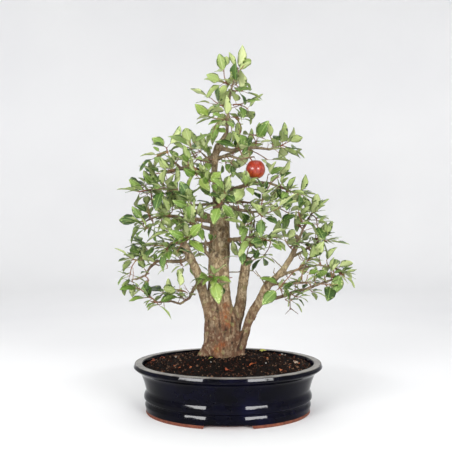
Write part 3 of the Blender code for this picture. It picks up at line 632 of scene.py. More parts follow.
for node, (leaves, shoot) in recovered.items():
    chance = random.Random(node)
    shootFine = subdivided(shoot, node + "_shoot", 2)
    places = vectorsOf(shootFine, "co")
    bumps = np.array([noise.noise(Vector(p) * 420.0) for p in places])[:, None]
    moved = places + vectorsOf(shootFine, "normal") * bumps * 0.22 * mm
    shootFine.vertices.foreach_set("co", moved.ravel())
    spotPlaces = [v.co.copy() for v in shoot.vertices]
    added = []
    # The crown is lighter than the lower tiers, which are well clothed.
    height = sum(p.z for p in spotPlaces) / len(spotPlaces)
    amounts = sprayPlan["smallLeaves"], sprayPlan["crownLeaves"]
    wanted = round(float(np.interp(height, sprayPlan["crownHeights"], amounts)))
    for attempt in range(sprayPlan["attempts"]):
        if len(added) == wanted:
            break
        place = chance.choice(spotPlaces)
        outward = ((place - plantCentre) * Vector((1, 1, 0.5))).normalized()
        leaf = smallLeaf(place, outward, chance, sprayPlan["smallLength"], sprayPlan["smallStalk"])
        middle = leafMiddle(leaf)
        if all((middle - other).length > sprayPlan["apart"] for other in leafCentres):
            added.append(leaf)
            leafCentres.append(middle)
    material = frame["nodes"][node].data.materials[0].name
    kind = next((k for k in ("pale", "young") if k in material), "mature")
    leafMesh = scattered(node + "_leaves", leafTrees[kind], leafShapes, leafSpots(leaves + added, chance))
    shootFine.materials.clear()
    shootFine.materials.append(shootBark)
    finishPiece(joined(node.replace("spray", "leafy_spray"), [leafMesh, shootFine]), "leaf_" + kind, node)
print("sprays dressed:", len(recovered))


# Old crabapple bark: rough, flaking in upright scales, grey-brown above and darker and
# pinkish towards the foot. Young limbs are smoother and greener.
trunkPlan = {
    "voxel": 1.5 * mm, "relief": 1.7 * mm, "thick": 11 * mm, "thin": 3.5 * mm, "rounding": 26,
    # The folds and knot holes below are also darkened with painted shade.
    # Folds where the stems have grown together: depth in mm, then columns and rows down the fold.
    "folds": (
        (3.4, (242.5, 331), (241, 337), (239.5, 344), (238, 350)),
        (2.6, (232.5, 317), (231.5, 325), (231, 333)),
        (2, (213.5, 297), (216.5, 306), (218.5, 316), (220, 326)),
        (1.6, (209.5, 328), (207.5, 340), (206, 350)),
        (1.5, (226, 330), (224, 340), (223, 350)),
    ),
    # Knots and old cuts: column, row, radius in mm.
    "knots": (
        (216, 255.5, 5), (219.4, 300.5, 4.5), (208.5, 321, 5), (219.5, 229.5, 5.5), (226.5, 240, 4),
        (214.5, 277, 4), (211.5, 338, 5), (232, 343, 5.5), (246, 283, 3.6), (250.5, 262.5, 5),
        (266, 288, 5.5), (254.5, 318, 4), (227, 219, 6), (224, 349, 4.5),
    ),
    # Freshly broken bark, orange-brown: column, row, radius in mm.
    "broken": (
        (226, 316, 11), (229, 324, 9), (225.5, 306, 6), (217, 350, 8), (222, 345, 7), (229, 240, 4),
    ),
}


def barkMaterial():
    made, tree, shader, place = newMaterial("old_crabapple_bark", 0.85, 0.25)
    girth, hollow, broken = (
        addNode(tree, "ShaderNodeAttribute", give="Fac", attribute_name=field)
        for field in ("girth", "hollow", "broken")
    )
    upright = addNode(tree, "ShaderNodeMapping", {"Vector": place, "Scale": (1.0, 1.0, 0.6)})
    links = {"Vector": upright, "Scale": 190.0}
    cells = addNode(tree, "ShaderNodeTexVoronoi", links, feature="DISTANCE_TO_EDGE")
    flakes = addNode(tree, "ShaderNodeTexVoronoi", links, give="Color")
    flake = addNode(tree, "ShaderNodeSeparateColor", (flakes,))
    broad, fine, mottle, blush, lichen = (
        addNode(tree, "ShaderNodeTexNoise", (where, None, *grain))
        for where, *grain in (
            (upright, 55, 5, 0.6), (upright, 420, 4, 0.65), (upright, 210, 3, 0.6), (place, 70, 3, 0.55),
            (place, 95, 2, 0.55),
        )
    )
    height = addNode(tree, "ShaderNodeSeparateXYZ", (place,), give="Z")
    low, exposed, plates = (
        addNode(tree, "ShaderNodeMapRange", links)
        for links in ((height, 0.15, 0.27, 1.0, 0.0), (mottle, 0.38, 0.60, 0.25, 1.0), (cells, 0.0, 0.14))
    )
    foot, rust, relief = (
        addNode(tree, "ShaderNodeMath", links, operation=operation)
        for *links, operation in (
            (low, blush, "MULTIPLY"), (broken, exposed, "MULTIPLY"), (plates, fine, "ADD"),
        )
    )
    old, young = (
        addNode(tree, "ShaderNodeValToRGB", (broad,), stops)
        for stops in (
            [(0.28, "#58442f"), (0.44, "#756047"), (0.56, "#8b7556"), (0.72, "#a39070")],
            [(0.3, "#54473a"), (0.5, "#786854"), (0.7, "#8d8360")],
        )
    )
    flaked = (flake, 0.1, 1.0, 0.0, 0.7, "#b5a587"), (cells, 0.01, 0.08, 0.6, 0.0, "#54402d")
    colour = laidOver(
        tree, young, (girth, 0.15, 0.65, 0.0, 1.0, laidOver(tree, old, *flaked)),
        # The first layer here makes the trunk darker and pinkish towards its foot.
        (foot, 0.18, 0.55, 0.0, 0.92, "#553526"), (mottle, 0.34, 0.50, 0.55, 0.0, "#4f3d2c"),
        (mottle, 0.56, 0.70, 0.0, 0.42, "#c6b696"), (rust, 0.0, 1.0, 0.0, 1.0, "#86471f"),
        # Painted shade: a dark brown laid into the bark's hollows, folds and knot holes.
        (hollow, 0.25, 1.0, 0.0, 0.8, "#33251c"), (lichen, 0.60, 0.72, 0.0, 0.4, "#8a8f5c"),
    )
    endMaterial(tree, shader, colour, relief, 0.9 * mm, 0.9)
    return made


oldBark = barkMaterial()


def besideSums(values, first, second):
    # For each corner, the sum of the values at the other ends of its edges.
    return sum(np.bincount(a, values[b], len(values)) for a, b in ((first, second), (second, first)))


def localGirth(mesh, reach=30 * mm):
    points, normals = vectorsOf(mesh, "co"), vectorsOf(mesh, "normal")
    skin = skinOf(mesh, points)
    girth = np.zeros(len(points))
    for index, (place, normal) in enumerate(zip(points, normals)):
        inward = -Vector(normal)
        girth[index] = skin.ray_cast(Vector(place) + inward * 0.2 * mm, inward, reach)[3] or reach
    edges = np.zeros(len(mesh.edges) * 2, int)
    mesh.edges.foreach_get("vertices", edges)
    first, second = edges.reshape(-1, 2).T
    count = np.bincount(np.concatenate([first, second]), minlength=len(points))
    for step in range(12):
        girth = 0.5 * girth + 0.5 * besideSums(girth, first, second) / np.maximum(count, 1)
    return girth, first, second, count


def trunkMarks(mesh, points):
    plan = trunkPlan
    skin = skinOf(mesh, points)
    farAway = 9.0

    def onBark(column, row):
        return np.array(skin.ray_cast(*eyeRay(column, row))[0] or (farAway, farAway, farAway))

    def distance(column, row, radius):
        return np.linalg.norm(points - onBark(column, row), axis=1) / (radius * mm)

    # Folds and knot holes are dented, and their painted shade is gathered for the bark's colour.
    foldShade, rough, broken = (np.zeros(len(points)) for share in range(3))
    for depth, *stops in plan["folds"]:
        places = [onBark(*stop) for stop in stops]
        near = np.full(len(points), farAway)
        for first, second in zip(places, places[1:]):
            line = second - first
            share = np.clip((points - first) @ line / (line @ line), 0, 1)[:, None]
            near = np.minimum(near, np.linalg.norm(points - first - share * line, axis=1))
        groove = np.exp(-(near / (2.6 * mm)) ** 2)
        rough -= groove * depth * mm
        foldShade += groove * depth / 3.0
    for knot in plan["knots"]:
        away = distance(*knot)
        hole = np.exp(-(away / 0.42) ** 2)
        rough += 1.5 * mm * np.exp(-((away - 0.85) / 0.4) ** 2) - 1.6 * mm * hole
        foldShade += 0.85 * hole
    for patch in plan["broken"]:
        broken = np.maximum(broken, np.exp(-distance(*patch) ** 2))
    return foldShade, rough, broken


def makeTrunk():
    plan = trunkPlan
    holder = meshObject("trunk_plain", meshOf(weldedCopy("trunk"), "trunk_plain"))
    remesh = holder.modifiers.new("skin", "REMESH")
    remesh.mode = "VOXEL"
    remesh.voxel_size = plan["voxel"]
    mesh = finishedMesh(holder, "trunk_and_boughs")
    girth, first, second, count = localGirth(mesh)
    thick = np.clip((girth - plan["thin"]) / (plan["thick"] * 2 - plan["thin"]), 0, 1)
    points = vectorsOf(mesh, "co")
    # Thick wood loses the plain loft's corners, and thin wood only its steps.
    for step in range(plan["rounding"]):
        share = np.clip(thick * 1.3 - step / 40 + (0.5 if step < 3 else 0.0), 0, 0.6)[:, None]
        total = np.stack([besideSums(column, first, second) for column in points.T], axis=1)
        points = points * (1 - share) + total / count[:, None] * share
    mesh.vertices.foreach_set("co", points.ravel())
    mesh.update()
    normals = vectorsOf(mesh, "normal")
    hollow = np.zeros(len(points))
    foldShade, rough, broken = trunkMarks(mesh, points)
    moved = points.copy()
    for index, share in enumerate(thick):
        place = Vector(points[index])
        upright = Vector((place.x, place.y, place.z * 0.38))
        plate = noise.noise(upright * 160.0)
        ridge = 1.0 - 2.0 * abs(noise.noise(upright * 95.0 + Vector((3.0, 7.0, 1.0))))
        lump = noise.noise(place * 42.0)
        grain = noise.noise(upright * 420.0)
        rise = (0.55 * plate + 0.45 * ridge + 0.8 * lump * share + 0.3 * grain) * plan["relief"]
        # Painted shade for the low places of the bark's relief.
        hollow[index] = max(0.0, -plate - 0.1 * ridge) * 1.3 * share
        moved[index] += normals[index] * (rise * (0.22 + 0.78 * share))
    moved += normals * rough[:, None]
    mesh.vertices.foreach_set("co", moved.ravel())
    for field, values in (("girth", thick), ("hollow", hollow + foldShade), ("broken", broken)):
        setValues(mesh, field, "FLOAT", "POINT", values)
    mesh.materials.clear()
    mesh.materials.append(oldBark)
    return mesh


trunkMesh = makeTrunk()
finishPiece(trunkMesh, "bark", "trunk")
print("trunk:", len(trunkMesh.polygons), "faces")


# Short spurs on the finer wood carry small leaves, and bare twigs fill the crown.
spurPlan = {
    "spurs": 130, "spurLength": (7 * mm, 15 * mm), "leaves": (2, 4), "low": 0.20, "high": 0.47, "seed": 61,
    "leafLength": (14 * mm, 29 * mm), "stalk": (3 * mm, 6 * mm), "bare": 90, "bareLength": (12 * mm, 34 * mm),
    "fineGirth": 0.16, "leavesPerSpur": 2.6, "clearOfFruit": 30 * mm, "spurThickness": 16 * mm,
    # Leafy shoots that clothe the cut tops of the stems: column, row, depth in mm, leaves.
    "topLeafLength": (18 * mm, 31 * mm), "topThickness": 22 * mm,
    "tops": (
        (243, 249, -14, 5), (250.5, 245, -10, 5), (257.5, 251, -8, 4), (239, 257, -12, 3), (249, 248, 14, 5),
        (254, 260, -14, 3), (181, 232, -22, 4), (187, 241, -32, 3), (222, 205, -16, 4), (226, 213, -18, 3),
    ),
    # Bare twigs and stubs seen in front of the leaves: radii in mm at both ends, then column, row
    # and mm further back than the wood at the first place.
    "twigs": (
        (
            2.6, 0.9, (222.5, 213, -3), (228, 208.8, -7), (233.5, 206.8, -9), (239, 208.8, -10),
            (243, 211.3, -8), (246.5, 209.3, -9),
        ),
        (1.4, 0.6, (233.5, 206.8, -9), (238.5, 206, -13), (240.5, 212.5, -14)),
        (1, 0.4, (255, 238, -2), (254.8, 230, -6), (254.3, 221, -6), (252.8, 213.5, -8)),
        (0.9, 0.4, (254.8, 230, -4), (258.5, 230.5, -8), (261.5, 222.5, -8)),
        (0.8, 0.4, (254.5, 226, -4), (251, 220, -8), (249, 216.5, -8)),
        (
            1.2, 0.7, (231, 272.6, 0), (238, 272.2, -6), (246, 270.2, -10), (253, 270.8, -12),
            (258.5, 276.5, -16),
        ),
        (1.4, 0.6, (264.5, 285, 0), (262, 279.5, -6), (259, 275.5, -8), (255.5, 270.5, -8)),
        (1.2, 0.5, (281, 266, 0), (276.5, 262.5, -5), (271.5, 257.5, -8)),
        (1, 0.5, (283.5, 272, 0), (290, 274, -5), (296, 275.3, -8)),
        (0.9, 0.4, (286, 273, -2), (287.5, 277.5, -6), (289.5, 280.5, -8)),
        (1.3, 0.5, (204.5, 288.5, 0), (198, 287.6, -6), (191.5, 286.3, -10)),
        (1.6, 0.7, (214.5, 252, 0), (209, 247.5, -5), (205.5, 240, -8), (203, 232.5, -8)),
        (1.1, 0.5, (275.5, 277, 0), (273.5, 272.5, -4), (274.5, 268, -6)),
    ),
}


def twigMesh(name, places, first, last, chance):
    # A tapering twig, slightly crooked.
    path, sides = [], 7
    for start, end in zip(places, places[1:]):
        for step in range(3):
            shift = wandering(chance, 0.35) * mm
            path.append(start.lerp(end, step / 3) + (shift if path else Vector()))
    path.append(places[-1])
    points = []
    for index, place in enumerate(path):
        heading = (path[min(index + 1, len(path) - 1)] - path[max(index - 1, 0)]).normalized()
        side = heading.cross(Vector((0.3, 1.0, 0.2))).normalized()
        other = heading.cross(side)
        radius = (first + (last - first) * index / (len(path) - 1)) * mm * chance.uniform(0.86, 1.14)
        for turn in (math.tau * corner / sides for corner in range(sides)):
            points.append(place + (side * math.cos(turn) + other * math.sin(turn)) * radius)
    mesh = meshFrom(name, points, tubeFaces(0, len(path), sides))
    mesh.materials.append(oldBark)
    return mesh


def makeSpurs():
    plan = spurPlan
    chance = random.Random(plan["seed"])
    points, normals = vectorsOf(trunkMesh, "co"), vectorsOf(trunkMesh, "normal")
    girth = np.zeros(len(points), np.float32)
    trunkMesh.attributes["girth"].data.foreach_get("value", girth)
    fine = [i for i in range(len(points)) if girth[i] < plan["fineGirth"] and points[i][2] > plan["low"]]
    apple = sum(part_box("fruit"), Vector()) / 2
    spots, leaves = [], []

    def twig(place, heading, length, shape, thickness):
        side = heading.cross(wandering(chance, 1)).normalized()
        turn = eulerOf(heading, side, heading.cross(side))
        spots.append((place, shape, turn, (length, thickness, thickness), chance.random()))

    def fineSpot():
        index = chance.choice(fine)
        return Vector(points[index]), Vector(normals[index])

    def clearOf(place, apart):
        return all((place - other).length > apart for other in leafCentres)

    for number in range(plan["spurs"] * 6):
        if len(leaves) >= plan["spurs"] * plan["leavesPerSpur"]:
            break
        place, normal = fineSpot()
        if place.z > plan["high"] or (place - apple).length < plan["clearOfFruit"]:
            continue
        heading = (normal + Vector((0, 0, 0.35)) + wandering(chance, 0.4)).normalized()
        length = chance.uniform(*plan["spurLength"])
        tip = place + heading * length
        if not clearOf(tip, sprayPlan["apart"]):
            continue
        outward = Vector((tip.x - plantCentre.x, tip.y - plantCentre.y, 0)).normalized()
        grown = []
        for leafNumber in range(chance.randint(*plan["leaves"])):
            leaf = smallLeaf(tip, (outward + heading).normalized(), chance, plan["leafLength"], plan["stalk"])
            if clearOf(leafMiddle(leaf), sprayPlan["apart"] * 0.9):
                leafCentres.append(leafMiddle(leaf))
                grown.append(leaf)
        if grown:
            twig(place, heading, length + 1 * mm, twigNumbers[1], plan["spurThickness"])
            leaves += grown
    wood = nearTree(points)
    for column, row, depth, count in plan["tops"]:
        tip = elevationPoint(column, row, depth)
        foot, index, away = wood.find(tip)
        heading = (tip - foot).normalized()
        twig(foot, heading, away, twigNumbers[1], plan["topThickness"])
        for leafNumber in range(count):
            around = (wandering(chance, 1) + heading).normalized()
            leaves.append(smallLeaf(tip, around, chance, plan["topLeafLength"], plan["stalk"]))
    twigs = []
    for first, last, *stops in plan["twigs"]:
        trials = [(wood.find(elevationPoint(*stops[0][:2], depth))[2], depth) for depth in range(-70, 71, 4)]
        deep = min(trials)[1]
        places = [elevationPoint(column, row, deep + further) for column, row, further in stops]
        places[0] = wood.find(places[0])[0]
        twigs.append(twigMesh(f"twig_{len(twigs)}", places, first, last, chance))
    for number in range(plan["bare"]):
        place, normal = fineSpot()
        heading = (normal + Vector((0, 0, 0.3)) + wandering(chance, 0.5)).normalized()
        length = chance.uniform(*plan["bareLength"])
        twig(place, heading, length, chance.choice(twigNumbers), length * 0.55)
    spots += leafSpots(leaves, chance)
    made = scattered("spur_leaves", leafTrees["mature"], leafShapes, spots)
    return joined("spur_leaves_and_twigs", [made] + twigs), len(leaves)


spurMesh, spurCount = makeSpurs()
finishPiece(spurMesh, "leaf_mature")
print("spurs:", spurCount, "small leaves")


# Stoneware pot: thrown oval, dark blue-black glaze dipped to just above a bare clay foot.
potPlan = {
    "length": 350 * mm, "width": 272 * mm, "steps": 200, "glazeLine": 5.4 * mm,
    "footOpening": (79 * mm, 88 * mm), "footHeight": 6.5 * mm, "drainRadius": 13 * mm, "drainOffset": 70 * mm,
}
potRatio = potPlan["width"] / potPlan["length"]


def glazeMaterial():
    made, tree, shader, place = newMaterial("blue_black_glaze", 0.05, 0.08)
    cloud, rimBlotches, waves = (
        addNode(tree, "ShaderNodeTexNoise", (place, None, perMetre, detail, 0.55))
        for perMetre, detail in ((22.0, 3.0), (45.0, 3.0), (34.0, 2.0))
    )
    stops = [(0.35, "#030306"), (0.55, "#050511"), (0.75, "#08081e")]
    blue = addNode(tree, "ShaderNodeValToRGB", (cloud,), stops)
    height = addNode(tree, "ShaderNodeSeparateXYZ", (place,), give="Z")
    # The glaze thins on the flat of the rim, where the body greys it; the grey is also a painted reflection.
    rim = addNode(tree, "ShaderNodeMapRange", (height, 0.0885, 0.0898))
    thinGlazeAndSheen = addNode(tree, "ShaderNodeMath", (rim, rimBlotches), operation="MULTIPLY")
    dull = addNode(tree, "ShaderNodeMapRange", (height, 0.0884, 0.0898, 0.05, 0.30))
    tree.links.new(dull, shader.inputs["Roughness"])
    # Painted reflection: part of the rim's grey stands for the pale wall mirrored there.
    colour = laidOver(tree, blue, (thinGlazeAndSheen, 0.1, 0.55, 0.0, 0.9, "#96928c"))
    endMaterial(tree, shader, colour, waves, 0.5 * mm, 0.4)
    return made


blueGlaze = glazeMaterial()
redClay = plainMaterial(
    "bare_red_clay", 0.8, (210.0, 5.0), [(0.3, "#4c2415"), (0.5, "#68331f"), (0.7, "#7c452c")],
    (1500.0, 3.0), 0.2 * mm,
)


def roundedProfile(corners):
    # Each corner is (radius, height, rounding).
    points, steps = [], 7
    for index, (r, z, rounding) in enumerate(corners):
        here = Vector((r, z))
        if rounding == 0 or index in (0, len(corners) - 1):
            points.append(here)
            continue
        before, after = (Vector(corners[beside][:2]) - here for beside in (index - 1, index + 1))
        cut = min(rounding, before.length * 0.48, after.length * 0.48)
        start, end = here + before.normalized() * cut, here + after.normalized() * cut
        for t in (step / steps for step in range(steps + 1)):
            points.append(start * (1 - t) ** 2 + here * 2 * t * (1 - t) + end * t * t)
    return points


def revolved(name, profile, steps, placed, outwards=True):
    # A profile point on the axis makes a single corner.
    points, rows, faces = [], [], []
    for r, z in profile:
        count = steps if r > 1e-6 else 1
        rows.append([len(points) + step % count for step in range(steps)])
        points += [placed(r, z, math.tau * step / steps) for step in range(count)]
    for upper, lower in zip(rows, rows[1:]):
        for step in range(steps):
            following = (step + 1) % steps
            ring = [upper[step], upper[following], lower[following], lower[step]]
            ring = [c for i, c in enumerate(ring) if c not in ring[:i]]
            if len(ring) > 2:
                faces.append(tuple(ring))
    return meshFrom(name, points, faces, outwards)


def onOval(ratio):
    return lambda r, z, turn: (
        potCentre.x + r * math.cos(turn), potCentre.y + r * ratio * math.sin(turn), z
    )


def potCutter():
    # The opening across the foot and the two drain holes.
    plan = potPlan
    upper, lower = (width / 2 for width in plan["footOpening"])
    rise = plan["footHeight"] + 0.2 * mm
    outline = [
        (-lower, -1 * mm), (lower, -1 * mm), (upper, rise - 1 * mm), (upper - 1.2 * mm, rise),
        (-upper + 1.2 * mm, rise), (-upper, rise - 1 * mm),
    ]
    cage = bmesh.new()
    front, back = (
        [cage.verts.new((potCentre.x + x, potCentre.y + away, z)) for x, z in outline]
        for away in (-0.15, 0.15)
    )
    cage.faces.new(front)
    cage.faces.new(list(reversed(back)))
    for i in range(len(outline)):
        j = (i + 1) % len(outline)
        cage.faces.new((front[i], back[i], back[j], front[j]))
    radius = plan["drainRadius"]
    for side in (-1, 1):
        middle = Matrix.Translation((potCentre.x + side * plan["drainOffset"], potCentre.y, 0.011))
        bmesh.ops.create_cone(
            cage, cap_ends=True, segments=48, radius1=radius, radius2=radius, depth=0.03, matrix=middle
        )
    bmesh.ops.recalc_face_normals(cage, faces=cage.faces)
    return meshObject("pot_cutter", meshOf(cage, "pot_cutter"))


def makePot():
    plan = potPlan
    half, top = plan["length"] / 2, potHigh.z
    corners = [
        (0, 0.0160, 0), (0.134, 0.0160, 8 * mm), (0.1455, 0.0270, 8 * mm), (0.1485, 0.0530, 6 * mm),
        (0.1530, 0.0700, 6 * mm), (half - 0.0160, top, 2.4 * mm), (half - 0.0024, top - 0.0004, 1.2 * mm),
        (half, top - 0.0070, 1.2 * mm), (half - 0.0030, 0.0800, 2.0 * mm), (0.1625, 0.0735, 7 * mm),
        (0.1562, 0.0590, 9 * mm), (0.1517, 0.0415, 3 * mm), (0.1557, 0.0318, 2.4 * mm),
        (0.1557, 0.0262, 2.4 * mm), (0.1511, 0.0232, 1.4 * mm), (0.1511, 0.0214, 0.8 * mm),
        (0.1539, 0.0150, 1.4 * mm), (0.1528, 0.0098, 2.0 * mm), (0.1520, plan["glazeLine"], 0),
        (0.1520, 0.0, 0.7 * mm), (0.1445, 0.0, 0.7 * mm), (0.1430, 0.0065, 1.5 * mm), (0, 0.0070, 0),
    ]
    # Rings beside the roundings keep the straight faces flat, so they mirror the windows whole.
    rounded, profile = roundedProfile(corners), []
    for start, end in zip(rounded, rounded[1:]):
        profile.append(start)
        long = math.dist(start, end)
        if long > 2.5 * mm:
            low = start[1] < 0.045
            shares = (0.4 * mm / long, (0.72 if low else 1.0) - 0.4 * mm / long)
            along = np.array(end) - start
            profile += [tuple(np.array(start) + along * share) for share in shares[:1 if low else 2]]
    mesh = revolved("pot_turned", profile + [corners[-1][:2]], plan["steps"], onOval(potRatio))
    pot, cutter = meshObject("pot_turned", mesh), potCutter()
    opening = pot.modifiers.new("openings", "BOOLEAN")
    opening.operation, opening.solver, opening.object = "DIFFERENCE", "MANIFOLD", cutter
    made = finishedMesh(pot, "oval_pot")
    bpy.data.objects.remove(cutter)
    made.materials.clear()
    made.materials.append(blueGlaze)
    made.materials.append(redClay)
    for face in made.polygons:
        under = face.normal.z < -0.6 and face.center.z < 0.009
        face.material_index = 1 if face.center.z < plan["glazeLine"] or under else 0
    return made


finishPiece(makePot(), "pot_glaze", "pot")
print("pot turned")


# Potting soil: dark baked grains of several sizes over a mound, with a few bits of litter.
soilPlan = {
    "mound": (
        (0, 0.1060), (0.035, 0.1050), (0.065, 0.1012), (0.095, 0.0957), (0.125, 0.0893), (0.1555, 0.0830),
    ),
    "wall": ((0.1524, 0.0700), (0.1480, 0.0530), (0.1450, 0.0274), (0.1336, 0.0163), (0.0, 0.0163)),
    "radius": 0.1555, "evenFrom": 0.155, "grainsTo": 0.1535, "steps": 180, "rings": 70,
    "grains": 5000, "grainSize": (0.8 * mm, 2.2 * mm), "seed": 23, "shapeSeed": 100,
}


def soilMaterial(name, stops):
    made, tree, shader, place = newMaterial(name, 0.92, 0.15)
    tint = addNode(tree, "ShaderNodeAttribute", give="Fac", attribute_name="tint")
    grit = addNode(tree, "ShaderNodeTexNoise", (place, None, 700.0, 4.0, 0.7))
    blend = addNode(tree, "ShaderNodeMath", (grit, 0.3, tint), operation="MULTIPLY_ADD")
    colour = addNode(tree, "ShaderNodeValToRGB", (blend,), stops)
    endMaterial(tree, shader, colour, grit, 0.6 * mm)
    return made


darkSoil = soilMaterial("damp_potting_soil", [(0.05, "#050302"), (0.2, "#0d0704"), (0.4, "#180d07")])
soilGrains = soilMaterial("baked_clay_grains", [
    (0.05, "#090503"), (0.45, "#160b07"), (0.78, "#2b160d"), (0.97, "#452518"), (1.0, "#6a5241"),
])


def moundHeight(x, y):
    r = math.hypot(x, y / potRatio)
    radii, heights = zip(*soilPlan["mound"])
    z = float(np.interp(r, radii, heights))
    reach = min(1.0, r / soilPlan["evenFrom"])
    roll = math.sin(61.0 * x + 1.3) * math.cos(73.0 * y / potRatio - 0.6)
    roll += 0.6 * math.sin(147.0 * x - 119.0 * y / potRatio)
    return z + 1.6 * mm * roll * (1.0 - reach ** 6)


def makeSoilBody():
    plan = soilPlan
    mound = [(plan["radius"] * i / plan["rings"], 0.1) for i in range(plan["rings"] + 1)]
    mesh = revolved("soil_body", mound + list(plan["wall"]), plan["steps"], onOval(potRatio))
    for vertex in mesh.vertices[:1 + plan["rings"] * plan["steps"]]:
        x, y = vertex.co.x - potCentre.x, vertex.co.y - potCentre.y
        rough = 1.3 * noise.noise(vertex.co * 160.0) + 0.7 * noise.noise(vertex.co * 420.0)
        edge = 1.0 - min(1.0, math.hypot(x, y / potRatio) / plan["radius"]) ** 12
        vertex.co.z = moundHeight(x, y) + rough * mm * edge
    mesh.materials.append(darkSoil)
    mesh.update()
    return mesh


grainShapes = bpy.data.collections.new("grain_shapes")
for number in range(5):
    cage = bmesh.new()
    bmesh.ops.create_icosphere(cage, subdivisions=1, radius=1.0)
    chance = random.Random(soilPlan["shapeSeed"] + number)
    for vertex in cage.verts:
        vertex.co *= chance.uniform(0.72, 1.15)
        vertex.co.z *= 0.8
    grain = meshOf(cage, f"grain_shape_{number}")
    setValues(grain, "part", "INT", "FACE", [0] * len(grain.polygons))
    meshObject(grain.name, grain, grainShapes)
grainTree = scatterTree("soil_grains", [soilGrains])


def makeSoil():
    plan = soilPlan
    chance = random.Random(plan["seed"])
    spots = []
    for number in range(plan["grains"]):
        r, turn = plan["grainsTo"] * math.sqrt(chance.random()), chance.uniform(0, math.tau)
        x, y = r * math.cos(turn), r * potRatio * math.sin(turn)
        size = chance.uniform(*plan["grainSize"]) * (1.7 if chance.random() < 0.04 else 1.0)
        at = potCentre + Vector((x, y, moundHeight(x, y) + chance.uniform(-0.2, 0.5) * size))
        spots.append((
            at, chance.randrange(5), [chance.uniform(0, 6.28) for axis in range(3)],
            (size, size * chance.uniform(0.7, 1.0), size * chance.uniform(0.6, 0.95)),
            min(0.94, chance.random() ** 1.6 * 0.95) if chance.random() < 0.97 else 1.0,
        ))
    return joined("potting_soil", [scattered("soil_grains", grainTree, grainShapes, spots), makeSoilBody()])


soilMesh = makeSoil()
finishPiece(soilMesh, "potting_soil", "soil")
print("soil laid:", len(soilMesh.polygons), "faces")


# Litter on the soil: curled dry leaf bits, two fallen green ones and pale pumice.
litterPlan = {
    "dry": ("#7a3114", "#b9501e", "#cf7440"),
    "fallen": ("#a8a83c", "#c4c45a", "#d8d68c"),
    "husk": ("#8f7a66", "#b09a86", "#c9b8a4"),
    "moreBits": 26, "seed": 5, "rim": 0.147, "farthest": 0.150, "trunkFoot": 0.045,
    # Column, row, length in mm and kind, on the line of sight of the elevation's eye.
    "bits": (
        (153.5, 355.5, 12, "dry"), (164, 358.6, 9, "dry"), (228, 370.2, 12, "dry"), (249.5, 366.2, 14, "dry"),
        (281, 370, 9, "dry"), (259.5, 350, 15, "fallen"), (212.5, 358, 9, "fallen"), (294, 361.3, 14, "husk"),
        (188, 366, 5, "dry"), (199, 352, 6, "dry"), (174, 366, 6, "dry"), (300, 364, 6, "dry"),
    ),
    # Column, row and size in mm.
    "stones": (
        (282.5, 352.8, 4.6), (285.5, 354, 3), (211, 362, 1.8), (176, 357, 1.8), (266, 363, 1.6),
    ),
}


def onSoil(column, row):
    eye, ahead = eyeRay(column, row)
    for step in range(1100):
        place = eye + ahead * (1.0 + step * 0.4 * mm) - potCentre
        atRim = place.y > 0 and math.hypot(place.x, place.y / potRatio) > litterPlan["rim"]
        if atRim or place.z < moundHeight(place.x, place.y) + 1.2 * mm:
            break
    return potCentre + Vector((place.x, place.y, moundHeight(place.x, place.y) + 1.2 * mm))


def makeLitter():
    plan = litterPlan
    chance = random.Random(plan["seed"])
    meshes = []
    for kind in ("dry", "fallen", "husk"):
        skin = leafMaterial(f"{kind}_crabapple_leaf", plan[kind], 0.7, plan[kind][2], 0.4)
        tree = scatterTree(f"litter_{kind}", [skin, skin, skin])
        spots = []
        extra = tuple(
            (chance.uniform(150, 300), chance.uniform(352, 369), chance.uniform(3.0, 5.0), "dry")
            for number in range(plan["moreBits"])
        )
        for column, row, length, which in plan["bits"] + (extra if kind == "dry" else ()):
            if which != kind:
                continue
            place = onSoil(column, row)
            x, y = place.x - potCentre.x, place.y - potCentre.y
            underTrunk = math.hypot(x + 0.011, y) < plan["trunkFoot"] and length < 5.1
            if underTrunk or math.hypot(x, y / potRatio) > plan["farthest"]:
                continue
            turn = (chance.uniform(-0.6, 0.6), chance.uniform(-0.5, 0.3), chance.uniform(0, 6.28))
            place += Vector((0, 0, 0.8 * mm))
            size = (length * mm, length * 0.7 * mm, length * 1.3 * mm)
            spots.append((place, chance.choice((5, 8, 7)), turn, size, chance.random()))
        meshes.append(scattered(f"litter_{kind}", tree, leafShapes, spots))
    stones = [
        (
            onSoil(column, row), chance.randrange(5), [chance.random() for axis in range(3)],
            (size * mm, size * 0.8 * mm, size * 0.7 * mm), chance.random(),
        )
        for column, row, size in plan["stones"]
    ]
    pale = soilMaterial("white_pumice", [(0.1, "#8f8a84"), (0.6, "#c9c4bd"), (1.0, "#e4e0da")])
    meshes.append(scattered("pumice", scatterTree("pumice", [pale]), grainShapes, stones))
    return joined("soil_litter", meshes)


finishPiece(makeLitter(), "potting_soil")
print("litter laid")


# The crabapple: red over orange, a waxy skin with fine pale dots, dried sepals under it.
fruitLow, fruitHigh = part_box("fruit")
fruitMiddle = (fruitLow + fruitHigh) / 2
applePlan = {
    "profile": (
        (0, 0.62), (0.06, 0.64), (0.13, 0.73), (0.21, 0.84), (0.31, 0.90), (0.44, 0.885), (0.58, 0.81),
        (0.73, 0.68), (0.86, 0.49), (0.955, 0.26), (1, 0), (0.98, -0.22), (0.90, -0.46), (0.78, -0.65),
        (0.62, -0.81), (0.46, -0.90), (0.33, -0.935), (0.23, -0.91), (0.13, -0.85), (0, -0.82),
    ),
    "radius": 17.4 * mm, "steps": 64, "sepals": 5,
}


